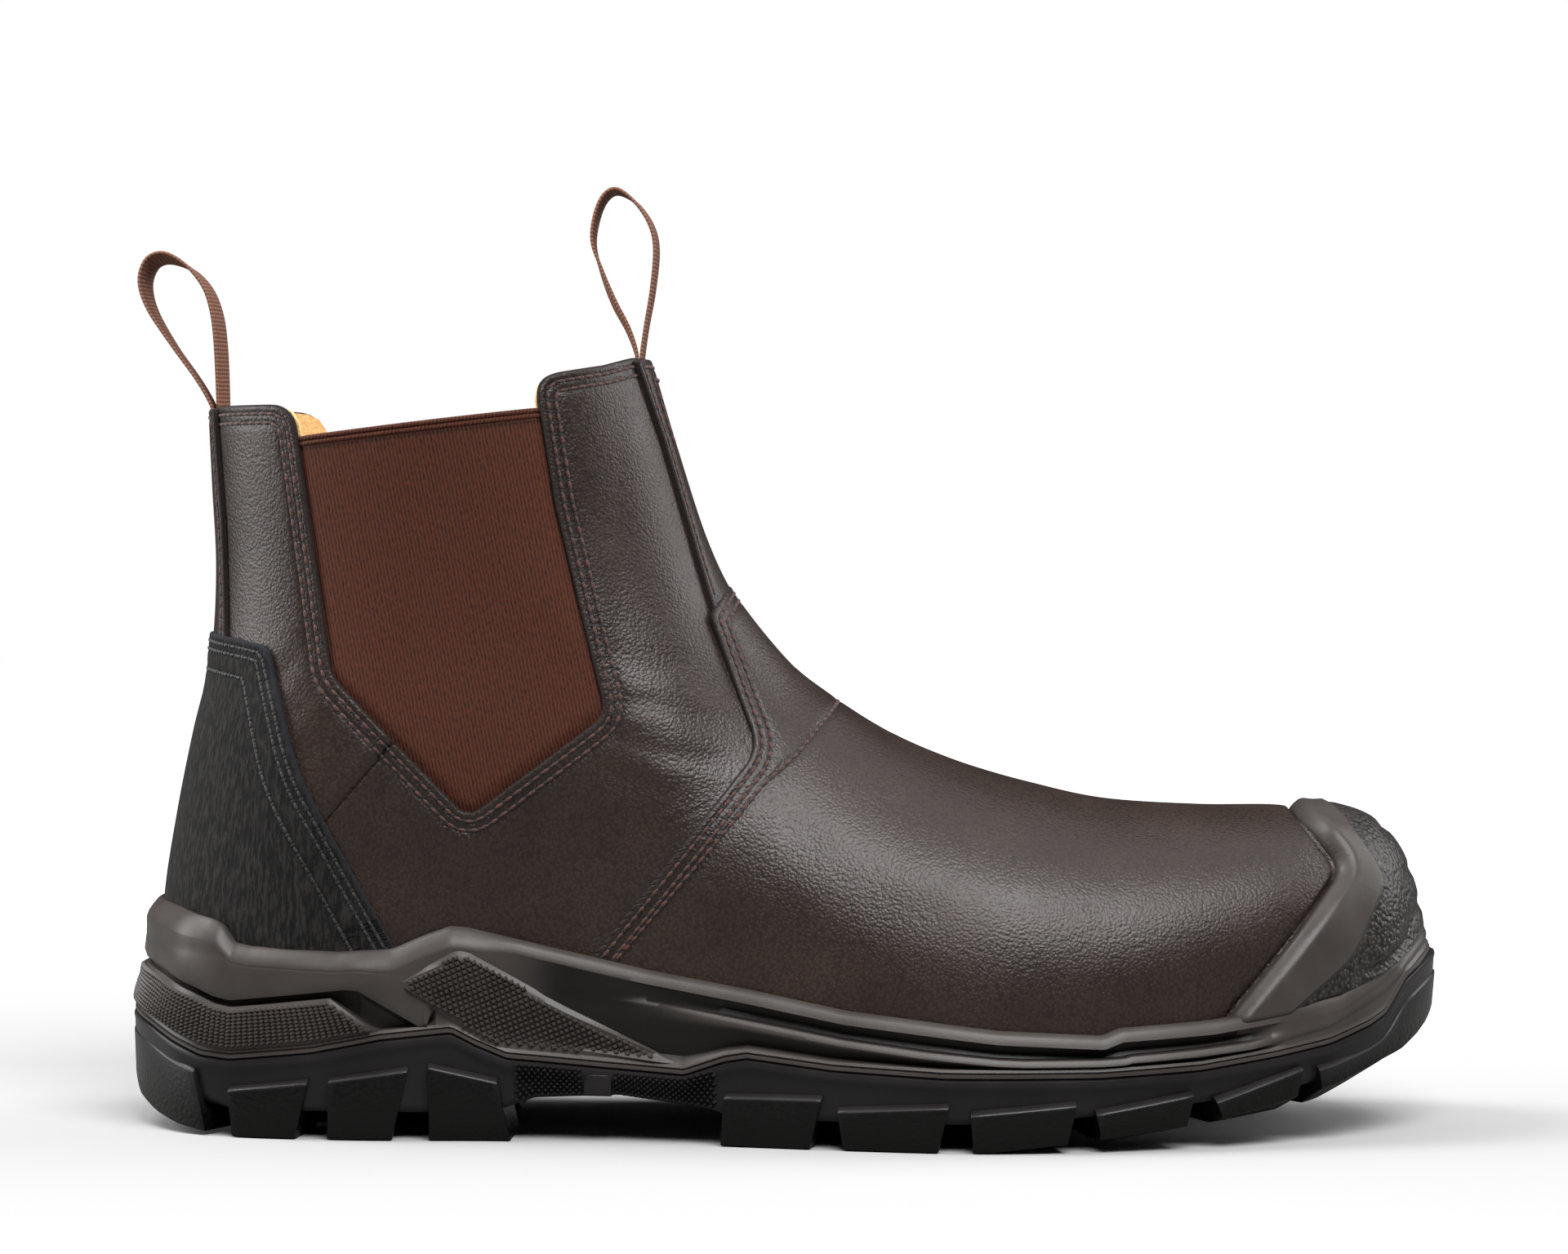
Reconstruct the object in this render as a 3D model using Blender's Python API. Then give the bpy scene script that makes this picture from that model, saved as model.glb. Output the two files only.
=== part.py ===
"""Pull-on safety boot for the right foot, standing on its sole.

Frame: millimetres in the tables below, metres in the meshes. +X runs from heel to toe,
+Y to the inner (medial) side, +Z up from the floor. X = 0 is the middle of the sole.
"""

import math
from collections import namedtuple

import bpy
import bmesh
import numpy as np

MM = 0.001

# Driving sizes
AXIS_Y = 2.4          # centre plane of heel and shaft, from the middle of the ball width
WALL = 2.4            # upper: leather and lining together
FIT = 0.3             # gap kept between pieces that touch
VAMP_STEP = 1.2       # the vamp leather lies this far proud of the quarters
VAMP_HEM = 0.2        # and ends this much lower
OVERLAY = 1.3         # thickness of counter patch and strips
GUARD = 3.4           # toe guard moulded with the midsole
SOLE_MARGIN = 5.5     # sole edge outside the upper
TOE_INFLARE = 6.0     # how far the toe tip swings to the inner side
INSOLE = 4.0
MIDSOLE_FLOOR = 3.2   # midsole left under the foot
JOINT_INSET = 3.0     # width of the edge that carries the parting line
ELASTIC = 1.4
ELASTIC_RECESS = 0.5
TREAD = 6.0           # depth of the grooves between the lugs
LUG_FLARE = 2.0       # a lug is this much longer at its top than at the floor
SPAN = 90.0           # half length of the side-view cutters, wider than any half width

# Mesh fineness
RINGS_PER_SPAN = 2
POINTS_PER_SIDE = 9
ARC_STEPS = 4

# The upper, section by section from above the collar down and forward to the toe. Each row is a
# straight cut in the side view from the front or top line to the back or feather line.
# closed tells how far the cut still closes round the heel: 1 at the shaft, 0 under the foot.
Section = namedtuple("Section", "front_x front_z back_x back_z closed")
SECTIONS = [
    Section(-37.0, 192.0, -137.2, 180.0, 1.0),   # above the collar, for cutters only
    Section(-33.0, 178.2, -136.5, 165.8, 1.0),   # collar
    Section(-26.5, 157.0, -135.4, 148.0, 1.0),
    Section(-19.3, 135.0, -134.4, 128.0, 1.0),   # ankle
    Section(-11.6, 120.6, -135.2, 108.0, 1.0),
    Section(-0.5, 106.8, -138.2, 90.0, 1.0),     # instep
    Section(9.0, 98.8, -141.4, 71.0, 1.0),
    Section(16.5, 93.8, -144.2, 51.0, 1.0),
    Section(22.0, 90.6, -144.4, 31.0, 1.0),      # back of the heel, on the feather line
    Section(24.4, 89.4, -141.0, 31.0, 0.8),
    Section(28.0, 87.7, -131.0, 31.0, 0.6),
    Section(34.0, 85.2, -111.0, 30.6, 0.3),
    Section(43.0, 82.2, -75.0, 29.0, 0.0),
    Section(56.0, 78.8, -30.0, 25.0, 0.0),       # waist
    Section(74.0, 75.3, 20.0, 20.8, 0.0),        # ball
    Section(97.0, 73.9, 75.0, 19.2, 0.0),
    Section(117.0, 73.0, 108.0, 21.8, 0.0),      # toe box
    Section(130.0, 69.8, 126.0, 25.4, 0.0),
    Section(138.8, 62.8, 136.0, 28.6, 0.0),
    Section(143.4, 51.0, 141.5, 31.0, 0.0),
    Section(145.2, 38.0, 144.4, 32.6, 0.0),      # toe tip
]
COLLAR_ROW = 1
HEEL_ROW = 8

# Half width of the shaft by height, and the distances over which a section rounds in from its
# front and from its back.
Shaft = namedtuple("Shaft", "z half front_round back_round")
SHAFT = [
    Shaft(30.0, 37.0, 6.0, 38.0),
    Shaft(60.0, 37.0, 8.0, 38.0),
    Shaft(85.0, 36.5, 20.0, 40.0),
    Shaft(110.0, 35.5, 38.0, 43.0),
    Shaft(135.0, 36.0, 48.0, 46.0),
    Shaft(166.0, 38.0, 52.0, 50.0),
    Shaft(190.0, 38.5, 52.0, 50.0),
]
ANKLE_LOW, ANKLE_HIGH = 55.0, 115.0   # between these heights the foot's width turns into the shaft's
HEEL_FLAT_X = -105.0                  # behind this the heel keeps its width and only rounds in

# How far below the top line the vamp reaches its full width, along the foot
Vamp = namedtuple("Vamp", "x round")
VAMP = [Vamp(-40.0, 90.0), Vamp(-15.0, 76.0), Vamp(10.0, 64.0), Vamp(40.0, 52.0),
        Vamp(75.0, 40.0), Vamp(105.0, 31.0), Vamp(130.0, 26.0), Vamp(146.0, 22.0)]

# Outline of the sole seen from above, round from the heel along the outer side
SOLE_OUTLINE = [
    (-152.6, 0.0), (-147.0, -20.0), (-131.0, -36.0), (-100.0, -42.0), (-60.0, -41.5),
    (-22.0, -46.0), (18.0, -54.0), (46.0, -56.6), (80.0, -51.5), (112.0, -39.5),
    (134.0, -25.0), (147.5, -9.0), (152.8, 6.0), (147.0, 21.5), (132.0, 36.0), (108.0, 46.5),
    (76.0, 51.6), (44.0, 50.5), (10.0, 45.0), (-25.0, 39.5), (-60.0, 38.5), (-100.0, 41.0),
    (-131.0, 36.0), (-147.0, 20.0),
]

# Heights along the sole
Line = namedtuple("Line", "x z")
PARTING = [   # where midsole and outsole meet
    Line(-152.6, 25.6), Line(-146.0, 23.2), Line(-140.0, 20.4), Line(-133.0, 17.9),
    Line(-126.0, 17.3), Line(-107.0, 19.3), Line(-91.5, 22.4), Line(-75.5, 24.1),
    Line(-70.0, 21.3), Line(-63.0, 18.4), Line(-42.0, 16.8), Line(-23.0, 15.5),
    Line(-14.0, 18.7), Line(-9.0, 19.6), Line(10.0, 17.5), Line(35.0, 16.3), Line(70.0, 16.4),
    Line(93.0, 17.6), Line(111.0, 20.0), Line(124.0, 22.2), Line(134.0, 25.6),
    Line(138.0, 27.8), Line(143.7, 35.5), Line(148.0, 38.2), Line(152.8, 41.0),
]
LEDGE = [     # step in the midsole's side
    Line(-152.6, 37.5), Line(-141.7, 35.5), Line(-127.0, 30.9), Line(-97.0, 33.6),
    Line(-60.0, 33.0), Line(-28.0, 30.7), Line(-8.0, 27.3), Line(12.0, 23.9), Line(47.0, 20.2),
    Line(70.0, 19.2), Line(76.4, 20.7), Line(105.0, 22.9), Line(124.0, 26.0), Line(138.0, 33.0),
    Line(152.8, 44.0),
]
RIM = [       # top edge of the midsole against the leather
    Line(-152.6, 51.6), Line(-143.8, 50.6), Line(-132.6, 48.8), Line(-129.5, 47.5),
    Line(-126.2, 43.6), Line(-122.0, 42.9), Line(-102.0, 42.0), Line(-89.0, 42.8),
    Line(-82.6, 45.6), Line(-76.0, 48.0), Line(-71.9, 47.7), Line(-55.4, 43.9),
    Line(-32.0, 38.8), Line(-8.0, 34.7), Line(12.3, 30.9), Line(47.0, 27.0), Line(71.0, 25.8),
    Line(75.0, 27.4), Line(96.0, 28.6), Line(110.0, 31.5), Line(130.0, 38.0), Line(152.8, 49.0),
]
TREAD_BASE = [   # underside of the outsole between the lugs
    Line(-152.6, 15.0), Line(-140.0, 8.5), Line(-126.0, TREAD), Line(-66.0, TREAD),
    Line(-57.0, 9.5), Line(-38.0, 10.5), Line(-18.0, 8.0), Line(-12.0, TREAD), Line(45.0, TREAD),
    Line(70.0, 7.8), Line(90.0, 9.8), Line(116.0, 12.6), Line(125.5, 14.2), Line(136.0, 17.6),
    Line(143.0, 20.6), Line(147.0, 23.8), Line(150.3, 27.0), Line(152.8, 30.5),
]
FLOOR = [        # underside of the lugs: flat at heel and ball, raised at the back and the toe
    Line(-152.6, 12.0), Line(-150.0, 7.0), Line(-145.0, 4.0), Line(-139.0, 2.0),
    Line(-130.0, 0.6), Line(-125.5, 0.0), Line(45.0, 0.0), Line(63.0, 1.2), Line(70.0, 1.8),
    Line(90.0, 4.0), Line(98.0, 4.8), Line(116.0, 7.2), Line(125.5, 8.9), Line(136.0, 12.9),
    Line(142.7, 16.7), Line(146.9, 20.4), Line(150.3, 24.3), Line(152.8, 28.5),
]
EDGE_LIFT = [    # how much higher the lugs end at the sole's edge than towards the middle
    Line(45.0, 0.0), Line(70.0, 0.9), Line(98.0, 1.6), Line(116.0, 3.6), Line(125.0, 4.2),
    Line(137.0, 4.2), Line(146.0, 2.0), Line(152.8, 0.0),
]

# Edge lugs, the same on both sides: where they stand at the floor, how high they show on the side
# and how far they reach in
Lug = namedtuple("Lug", "rear front height depth")
EDGE_LUGS = [
    Lug(-125.2, -110.5, 12.4, 22.0),
    Lug(-103.2, -88.0, 14.6, 24.0),
    Lug(-80.3, -63.0, 14.8, 24.0),
    Lug(-14.5, 5.5, 12.0, 26.0),
    Lug(12.0, 34.0, 10.3, 31.0),
    Lug(41.2, 63.0, 10.0, 31.0),
    Lug(70.0, 90.2, 7.6, 28.0),
    Lug(98.0, 116.3, 6.4, 22.0),
]
END_LUGS = [(-160.0, -135.0, 9.0), (122.0, 160.0, 5.4)]   # whole width: rear, front and height
CENTRE_LUGS = [   # rear and front of the blocks along the middle of the tread
    (-122.0, -104.0), (-99.0, -70.0), (-10.0, 16.0), (22.0, 48.0), (54.0, 76.0), (82.0, 100.0),
]
CENTRE_LUG_HALF = 10.5

# Side-view outlines, as corners (x, z, corner radius)
GUSSET_NOTCH = [(-36.0, 184.0, 0), (-36.0, 178.0, 0), (-43.0, 175.6, 0), (-58.2, 172.3, 6),
                (-53.2, 143.0, 40), (-41.4, 96.0, 6), (-72.5, 72.3, 4), (-104.0, 104.4, 10),
                (-113.8, 165.7, 7), (-131.0, 165.8, 0), (-131.0, 184.0, 0)]
GUSSET_TOP = [(-57.0, 165.4), (-113.4, 158.2)]
VAMP_AREA = [(-7.0, 139.0, 0), (-19.0, 118.0, 3), (-7.0, 88.0, 9), (-43.5, 42.0, 0),
             (-62.0, 18.0, 0), (170.0, -10.0, 0), (170.0, 139.0, 0)]
GUARD_AREA = [(99.0, 29.0, 6), (127.0, 60.5, 5), (118.6, 72.0, 4), (117.4, 90.0, 0),
              (172.0, 90.0, 0), (172.0, 24.0, 0), (99.0, 24.0, 0)]
COUNTER_AREA = [(-160.0, 117.5, 0), (-134.0, 113.4, 0), (-118.6, 110.6, 4), (-110.9, 82.0, 60),
                (-86.0, 38.0, 0), (-160.0, 38.0, 0)]
BACK_STRIP_AREA = [(-145.0, 165.2, 0), (-133.9, 165.5, 0), (-131.8, 139.0, 0), (-129.2, 113.2, 0),
                   (-145.0, 115.8, 0)]
FRONT_STRIP_AREA = [(-36.8, 177.2, 0), (-30.1, 157.9, 0), (-22.0, 131.0, 0), (-18.4, 120.0, 0),
                    (-8.0, 138.2, 0), (-8.0, 178.0, 0), (-33.0, 177.6, 0)]
SIDE_PANEL_AREA = [(-87.4, 35.0, 2), (-75.0, 42.6, 2), (-24.0, 17.6, 0), (-62.0, 19.6, 0),
                   (-66.0, 21.0, 0)]

# Pull loops: outside of the tape in the side view, from its foot round the crown
PULL_LOOPS = {
    "pull_loop_rear": [(-136.2, 166.2), (-139.2, 172.0), (-145.0, 180.2), (-150.6, 188.6),
                       (-152.8, 195.4), (-150.9, 201.0), (-147.4, 202.2), (-140.2, 198.7),
                       (-136.2, 194.2), (-133.6, 188.0), (-132.6, 181.0), (-133.0, 166.2)],
    "pull_loop_front": [(-36.2, 178.5), (-37.9, 185.0), (-41.2, 191.0), (-44.9, 198.3),
                        (-47.4, 206.0), (-45.4, 215.0), (-41.6, 218.2), (-36.4, 215.6),
                        (-32.3, 210.4), (-31.0, 204.0), (-32.1, 194.2), (-33.2, 186.0),
                        (-33.0, 178.5)],
}
TAPE_WIDTH, TAPE_THICK, TAPE_JOIN = 10.0, 1.3, 8.0   # the legs are sewn together up to TAPE_JOIN

# Colours as linear RGB with roughness
FINISHES = {
    "brown_leather": (0.072, 0.051, 0.044, 0.55),
    "brown_elastic": (0.082, 0.027, 0.017, 0.85),
    "black_nubuck": (0.035, 0.033, 0.032, 0.9),
    "moulded_pu": (0.027, 0.023, 0.021, 0.55),
    "black_rubber": (0.015, 0.014, 0.015, 0.5),
    "brown_tape": (0.13, 0.065, 0.045, 0.8),
    "insole_cloth": (0.45, 0.28, 0.12, 0.9),
}


# Curves and small helpers

def spline(points, per_span, closed=False):
    """Points along a smooth curve through the given points (Catmull-Rom)."""
    points = np.asarray(points, float)
    count = len(points)
    ends = range(count if closed else count - 1)
    out = []
    for i in ends:
        a, b, c, d = (points[k % count] if closed else points[min(max(k, 0), count - 1)]
                      for k in (i - 1, i, i + 1, i + 2))
        for t in np.arange(per_span) / per_span:
            out.append(0.5 * (2 * b + (c - a) * t + (2 * a - 5 * b + 4 * c - d) * t * t
                              + (3 * b - a - 3 * c + d) * t ** 3))
    if not closed:
        out.append(points[-1])
    return np.array(out)


def smoothstep(value):
    t = np.clip(value, 0.0, 1.0)
    return t * t * (3 - 2 * t)


def along(table, x):
    """A table's value at x, joined by straight lines."""
    return np.interp(x, [row[0] for row in table], [row[1] for row in table])


def rounded(corners):
    """A closed side-view outline with each corner's radius worked in as an arc."""
    out = []
    count = len(corners)
    for i, (x, z, radius) in enumerate(corners):
        here = np.array((x, z))
        before = np.array(corners[i - 1][:2]) - here
        after = np.array(corners[(i + 1) % count][:2]) - here
        if not radius:
            out.append(here)
            continue
        before_length, after_length = np.linalg.norm(before), np.linalg.norm(after)
        before, after = before / before_length, after / after_length
        half_angle = 0.5 * math.acos(np.clip(before @ after, -1, 1))
        reach = min(radius / math.tan(half_angle), 0.48 * before_length, 0.48 * after_length)
        for t in np.linspace(0, 1, ARC_STEPS + 1):
            out.append(here + before * reach * (1 - t) ** 2 + after * reach * t ** 2)
    return np.array(out)


def grown(outline, distance):
    """A closed outline moved out by distance (in, where negative)."""
    outline = np.asarray(outline, float)
    before = outline - np.roll(outline, 1, axis=0)
    after = np.roll(outline, -1, axis=0) - outline
    before /= np.linalg.norm(before, axis=1)[:, None]
    after /= np.linalg.norm(after, axis=1)[:, None]
    normal = np.stack([before[:, 1] + after[:, 1], -before[:, 0] - after[:, 0]], axis=1)
    stretch = 1 + np.sum(before * after, axis=1)
    area = np.sum(outline[:, 0] * np.roll(outline[:, 1], -1)
                  - np.roll(outline[:, 0], -1) * outline[:, 1])
    return outline + math.copysign(distance, distance * area) * normal / stretch[:, None]


def cut_below(outline, front, rear):
    """The part of a closed outline that lies below a straight line."""
    slope = (rear[1] - front[1]) / (rear[0] - front[0])
    over = outline[:, 1] - front[1] - (outline[:, 0] - front[0]) * slope
    kept = []
    for i in range(len(outline)):
        if over[i - 1] * over[i] < 0:
            kept.append(outline[i - 1] + (outline[i] - outline[i - 1]) * over[i - 1] / (over[i - 1] - over[i]))
        if over[i] <= 0:
            kept.append(outline[i])
    return np.array(kept)


# The last: its lines and its half width at any point of the side view

ROWS = np.array([row[:4] for row in SECTIONS])
FRONT_LINE = spline(ROWS[:, :2], 12)
BACK_LINE = spline(ROWS[: HEEL_ROW + 1, 2:], 12)
FEATHER_LINE = spline(ROWS[HEEL_ROW:, 2:], 12)
OUTLINE_FINE = spline(SOLE_OUTLINE, 24, closed=True)
UPPER_PLAN = grown(OUTLINE_FINE, -SOLE_MARGIN)
SHAFT_FINE = spline(SHAFT, 8)
VAMP_FINE = spline(VAMP, 8)


def sides_of(outline):
    """The outer and the inner side of a plan outline, each as rising x and its y."""
    heel, toe = int(np.argmin(outline[:, 0])), int(np.argmax(outline[:, 0]))
    turned = np.roll(outline, -heel, axis=0)
    split = (toe - heel) % len(outline)
    outer = turned[: split + 1]
    inner = np.vstack([turned[split:], turned[:1]])[::-1]
    return outer, inner


PLAN_OUTER, PLAN_INNER = sides_of(UPPER_PLAN)
SOLE_OUTER, SOLE_INNER = sides_of(OUTLINE_FINE)


def centre_y(x):
    return TOE_INFLARE * smoothstep((np.asarray(x, float) - 25.0) / 130.0)


def round_in(share):
    """0 at a line, 1 from its rounding distance on, with an upright start like an ellipse."""
    t = np.clip(share, 0.0, 1.0)
    return np.sqrt(t * (2 - t))


def half_width(x, z, side):
    """Half width of the upper's outer face at (x, z); side is -1 outer, 1 inner."""
    x, z = np.asarray(x, float), np.asarray(z, float)
    plan = PLAN_OUTER if side < 0 else PLAN_INNER
    foot = side * (np.interp(np.maximum(x, HEEL_FLAT_X), plan[:, 0], plan[:, 1]) - centre_y(x))
    heights = SHAFT_FINE[:, 0]
    shaft = np.interp(z, heights, SHAFT_FINE[:, 1])
    full = foot + (shaft - foot) * smoothstep((z - ANKLE_LOW) / (ANKLE_HIGH - ANKLE_LOW))
    ahead = np.interp(-z, -FRONT_LINE[:, 1], FRONT_LINE[:, 0]) - x
    above = np.interp(x, FRONT_LINE[:, 0], FRONT_LINE[:, 1], left=1000.0) - z
    behind = x - np.interp(-z, -BACK_LINE[:, 1], BACK_LINE[:, 0])
    near_zero = 1e-6
    front_reach = np.interp(z, heights, SHAFT_FINE[:, 2])
    top_reach = along(VAMP_FINE, x)
    front = 1 / np.hypot(front_reach / np.maximum(ahead, near_zero),
                         top_reach / np.maximum(above, near_zero))
    back = behind / np.interp(z, heights, SHAFT_FINE[:, 3])
    return full * round_in(front) * round_in(back)


def last_points(first_row):
    """Grid of points on the upper's outer face: a ring for each section, outer side to inner side."""
    table = np.array(SECTIONS, float)
    front = spline(table[:, :2], RINGS_PER_SPAN)
    back = np.vstack([spline(table[: HEEL_ROW + 1, 2:], RINGS_PER_SPAN),
                      spline(table[HEEL_ROW:, 2:], RINGS_PER_SPAN)[1:]])
    fine = np.hstack([front, back])[first_row * RINGS_PER_SPAN:]
    share = np.abs(np.arange(-POINTS_PER_SIDE, POINTS_PER_SIDE + 1)) / POINTS_PER_SIDE
    heel_ring = max((HEEL_ROW - first_row) * RINGS_PER_SPAN, -1)
    grid = np.zeros((len(fine), 2 * POINTS_PER_SIDE + 1, 3))
    for i, (front_x, front_z, back_x, back_z, closed) in enumerate(fine):
        round_heel = (1 - np.cos(math.pi * share)) / 2
        under_foot = 1 - np.cos(math.pi / 2 * share)
        t = closed * round_heel + (1 - closed) * under_foot
        x = front_x + t * (back_x - front_x)
        z = front_z + t * (back_z - front_z)
        for k, side in ((slice(0, POINTS_PER_SIDE), -1), (slice(POINTS_PER_SIDE, None), 1)):
            grid[i, k, 1] = centre_y(x[k]) + side * half_width(x[k], z[k], side)
        grid[i, :, 0], grid[i, :, 2] = x, z
        if i <= heel_ring:
            grid[i, (0, -1), 1] = centre_y(back_x)
    return grid, heel_ring


def last_normals(grid, heel_ring):
    """Unit normals of the upper's outer face at the points of last_points."""
    x, z = grid[:, :, 0], grid[:, :, 2]
    step = 0.05
    normal = np.zeros_like(grid)
    for columns, side in ((slice(0, POINTS_PER_SIDE), -1), (slice(POINTS_PER_SIDE + 1, None), 1)):
        px, pz = x[:, columns], z[:, columns]
        swing = (centre_y(px + step) - centre_y(px - step)) / (2 * step)
        slope_x = (half_width(px + step, pz, side) - half_width(px - step, pz, side)) / (2 * step)
        slope_z = (half_width(px, pz + step, side) - half_width(px, pz - step, side)) / (2 * step)
        normal[:, columns] = np.stack([-side * swing - slope_x, np.full_like(px, side), -slope_z], -1)
    run = np.gradient(grid[:, POINTS_PER_SIDE], axis=0)
    normal[:, POINTS_PER_SIDE] = np.stack([-run[:, 2], 0 * run[:, 0], run[:, 0]], -1)
    if heel_ring > 0:
        run = np.gradient(grid[: heel_ring + 1, 0], axis=0)
        behind = np.stack([run[:, 2], 0 * run[:, 0], -run[:, 0]], -1)
        normal[: heel_ring + 1, 0] = normal[: heel_ring + 1, -1] = behind
    return normal / np.linalg.norm(normal, axis=2)[:, :, None]


def last_form(name, offset, first_row=COLLAR_ROW, drop=0.0):
    """Closed solid of the last, its skin moved out by offset along its normals.

    drop carries its sides straight down past the feather line, for forms that cut through it.
    """
    grid, heel_ring = last_points(first_row)
    grid = grid + offset * last_normals(grid, heel_ring)
    if drop:
        grid = np.concatenate([grid[:, :1], grid, grid[:, -1:]], axis=1)
        grid[heel_ring + 1:, (0, -1), 2] -= drop
    rings, points = grid.shape[:2]
    index = np.arange(rings * points).reshape(rings, points)
    faces = []
    for i in range(rings - 1):
        for j in range(points - 1):
            quad = [index[i, j], index[i + 1, j], index[i + 1, j + 1], index[i, j + 1]]
            turn = int(j < points // 2)   # both sides split along mirrored diagonals
            faces.append(quad[turn:] + quad[:turn])
    faces += [(index[i, -1], index[i + 1, -1], index[i + 1, 0], index[i, 0])
              for i in range(max(heel_ring, 0), rings - 1)]
    faces += strip_cap(index[0]) + strip_cap(index[-1])
    return solid(name, grid.reshape(-1, 3), faces)


def strip_cap(ring):
    """Faces across a ring from its one half to the other."""
    half = len(ring) // 2
    across = [(ring[j], ring[j + 1], ring[-2 - j], ring[-1 - j]) for j in range(half - 1)]
    return across + [(ring[half - 1], ring[half], ring[half + 1])]


# Solids and their combinations

def solid(name, points, faces):
    """A closed mesh object from points in millimetres round the last's centre plane."""
    mesh = bpy.data.meshes.new(name)
    placed = (np.asarray(points, float) + (0.0, AXIS_Y, 0.0)) * MM
    mesh.from_pydata(placed.tolist(), [], [list(dict.fromkeys(int(k) for k in f)) for f in faces])
    shape = bmesh.new()
    shape.from_mesh(mesh)
    bmesh.ops.remove_doubles(shape, verts=shape.verts, dist=0.00001)
    bmesh.ops.dissolve_degenerate(shape, edges=shape.edges, dist=0.00001)
    bmesh.ops.triangulate(shape, faces=shape.faces, quad_method="FIXED")
    bmesh.ops.recalc_face_normals(shape, faces=shape.faces)
    shape.to_mesh(mesh)
    shape.free()
    obj = bpy.data.objects.new(name, mesh)
    bpy.context.scene.collection.objects.link(obj)
    return obj


def prism(name, outline, low_y=-SPAN, high_y=SPAN):
    """A side-view outline carried straight across the boot."""
    outline = np.asarray(outline, float)
    count = len(outline)
    points = [(x, y, z) for y in (low_y, high_y) for x, z in outline]
    faces = [(i, (i + 1) % count, count + (i + 1) % count, count + i) for i in range(count)]
    faces += [tuple(range(count)), tuple(range(count, 2 * count))]
    return solid(name, points, faces)


def combine(target, operation, *others):
    """Joins, cuts or intersects target with the other solids, which are used up."""
    for other in others:
        step = target.modifiers.new(operation.lower(), "BOOLEAN")
        step.operation = operation
        step.object = other
        graph = bpy.context.evaluated_depsgraph_get()
        made = bpy.data.meshes.new_from_object(target.evaluated_get(graph))
        target.modifiers.clear()
        target.data = made
        bpy.data.objects.remove(other)
    return target


def shell(name, outer, inner, outline, low_y=-SPAN, high_y=SPAN):
    """A sheet between two sizes of the last, cut to a side-view outline."""
    sheet = combine(last_form(name, outer, first_row=0, drop=6.0), "INTERSECT",
                    prism("area", outline, low_y, high_y))
    return combine(sheet, "DIFFERENCE", last_form("core", inner, first_row=0, drop=12.0))


def finish(obj, finish_name, sharp_degrees=32.0):
    """Gives a piece its material and smooth shading."""
    red, green, blue, roughness = FINISHES[finish_name]
    material = bpy.data.materials.get(finish_name) or bpy.data.materials.new(finish_name)
    material.use_nodes = True
    shader = material.node_tree.nodes["Principled BSDF"]
    shader.inputs["Base Color"].default_value = (red, green, blue, 1.0)
    shader.inputs["Roughness"].default_value = roughness
    shader.inputs["Metallic"].default_value = 0.0
    obj.data.materials.clear()
    obj.data.materials.append(material)
    obj.data.shade_smooth()
    obj.data.set_sharp_from_angle(angle=math.radians(sharp_degrees))
    return obj


# The sole, worked out from stations along its length

def stations():
    """x of each station from heel tip to toe tip: close together at the ends and at each bend."""
    length = SOLE_OUTER[-1, 0] - SOLE_OUTER[0, 0]
    ends = SOLE_OUTER[0, 0] + length * (1 - np.cos(np.linspace(0, math.pi, 26))) / 2
    bends = [-129.5, -126.2, -82.6, -76.0, -70.0, -63.0, -23.0, -14.0, -9.0, 71.0, 75.0]
    kept = [x for x in ends if min(abs(x - b) for b in bends) > 2.5]
    return np.array(sorted(kept + bends))


STATIONS = stations()


def edge_points(offset):
    """Sole edge at every station, outer side and inner side, moved out by offset."""
    outer_y = np.interp(STATIONS, SOLE_OUTER[:, 0], SOLE_OUTER[:, 1])
    inner_y = np.interp(STATIONS, SOLE_INNER[:, 0], SOLE_INNER[:, 1])
    loop = np.vstack([np.stack([STATIONS, outer_y], 1),
                      np.stack([STATIONS, inner_y], 1)[-2:0:-1]])
    moved = grown(loop, offset) if offset else loop
    count = len(STATIONS)
    return moved[:count], np.vstack([moved[:1], moved[count:][::-1], moved[count - 1:count]])


def sole_loft(name, rows):
    """Closed solid through rows of (offset, heights), from the bottom up.

    The heights are numbers for the stations, or a function of x at the moved edge.
    """
    rings = []
    for offset, heights in rows:
        outer, inner = edge_points(offset)
        outer = np.column_stack([outer, heights(outer[:, 0]) if callable(heights) else heights])
        inner = np.column_stack([inner, heights(inner[:, 0]) if callable(heights) else heights])
        rings.append(np.vstack([outer, inner[-2:0:-1]]))
    count, around = len(STATIONS), len(rings[0])
    index = np.arange(len(rings) * around).reshape(len(rings), around)
    faces = []
    for r in range(len(rings) - 1):
        turn = int(rows[r + 1][0] > rows[r][0])   # so that facing strips split along the same diagonal
        for k in range(around):
            ahead = (k + 1) % around
            quad = [index[r, k], index[r, ahead], index[r + 1, ahead], index[r + 1, k]]
            faces.append(quad[turn:] + quad[:turn])
    for ring in (index[0], index[-1]):
        faces += [(ring[k], ring[k + 1], ring[-1 - k], ring[-k] if k else ring[0])
                  for k in range(count - 1)]
    return solid(name, np.vstack(rings), faces)


def parting_inside():
    """Height of the joint between midsole and outsole away from the edge, under the foot."""
    limit = along(FEATHER_LINE, STATIONS) - MIDSOLE_FLOOR
    base = along(TREAD_BASE, np.minimum(STATIONS, STATIONS[-1] - JOINT_INSET / 2))
    return np.maximum(np.minimum(along(PARTING, STATIONS), limit), base + 2.2)


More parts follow.
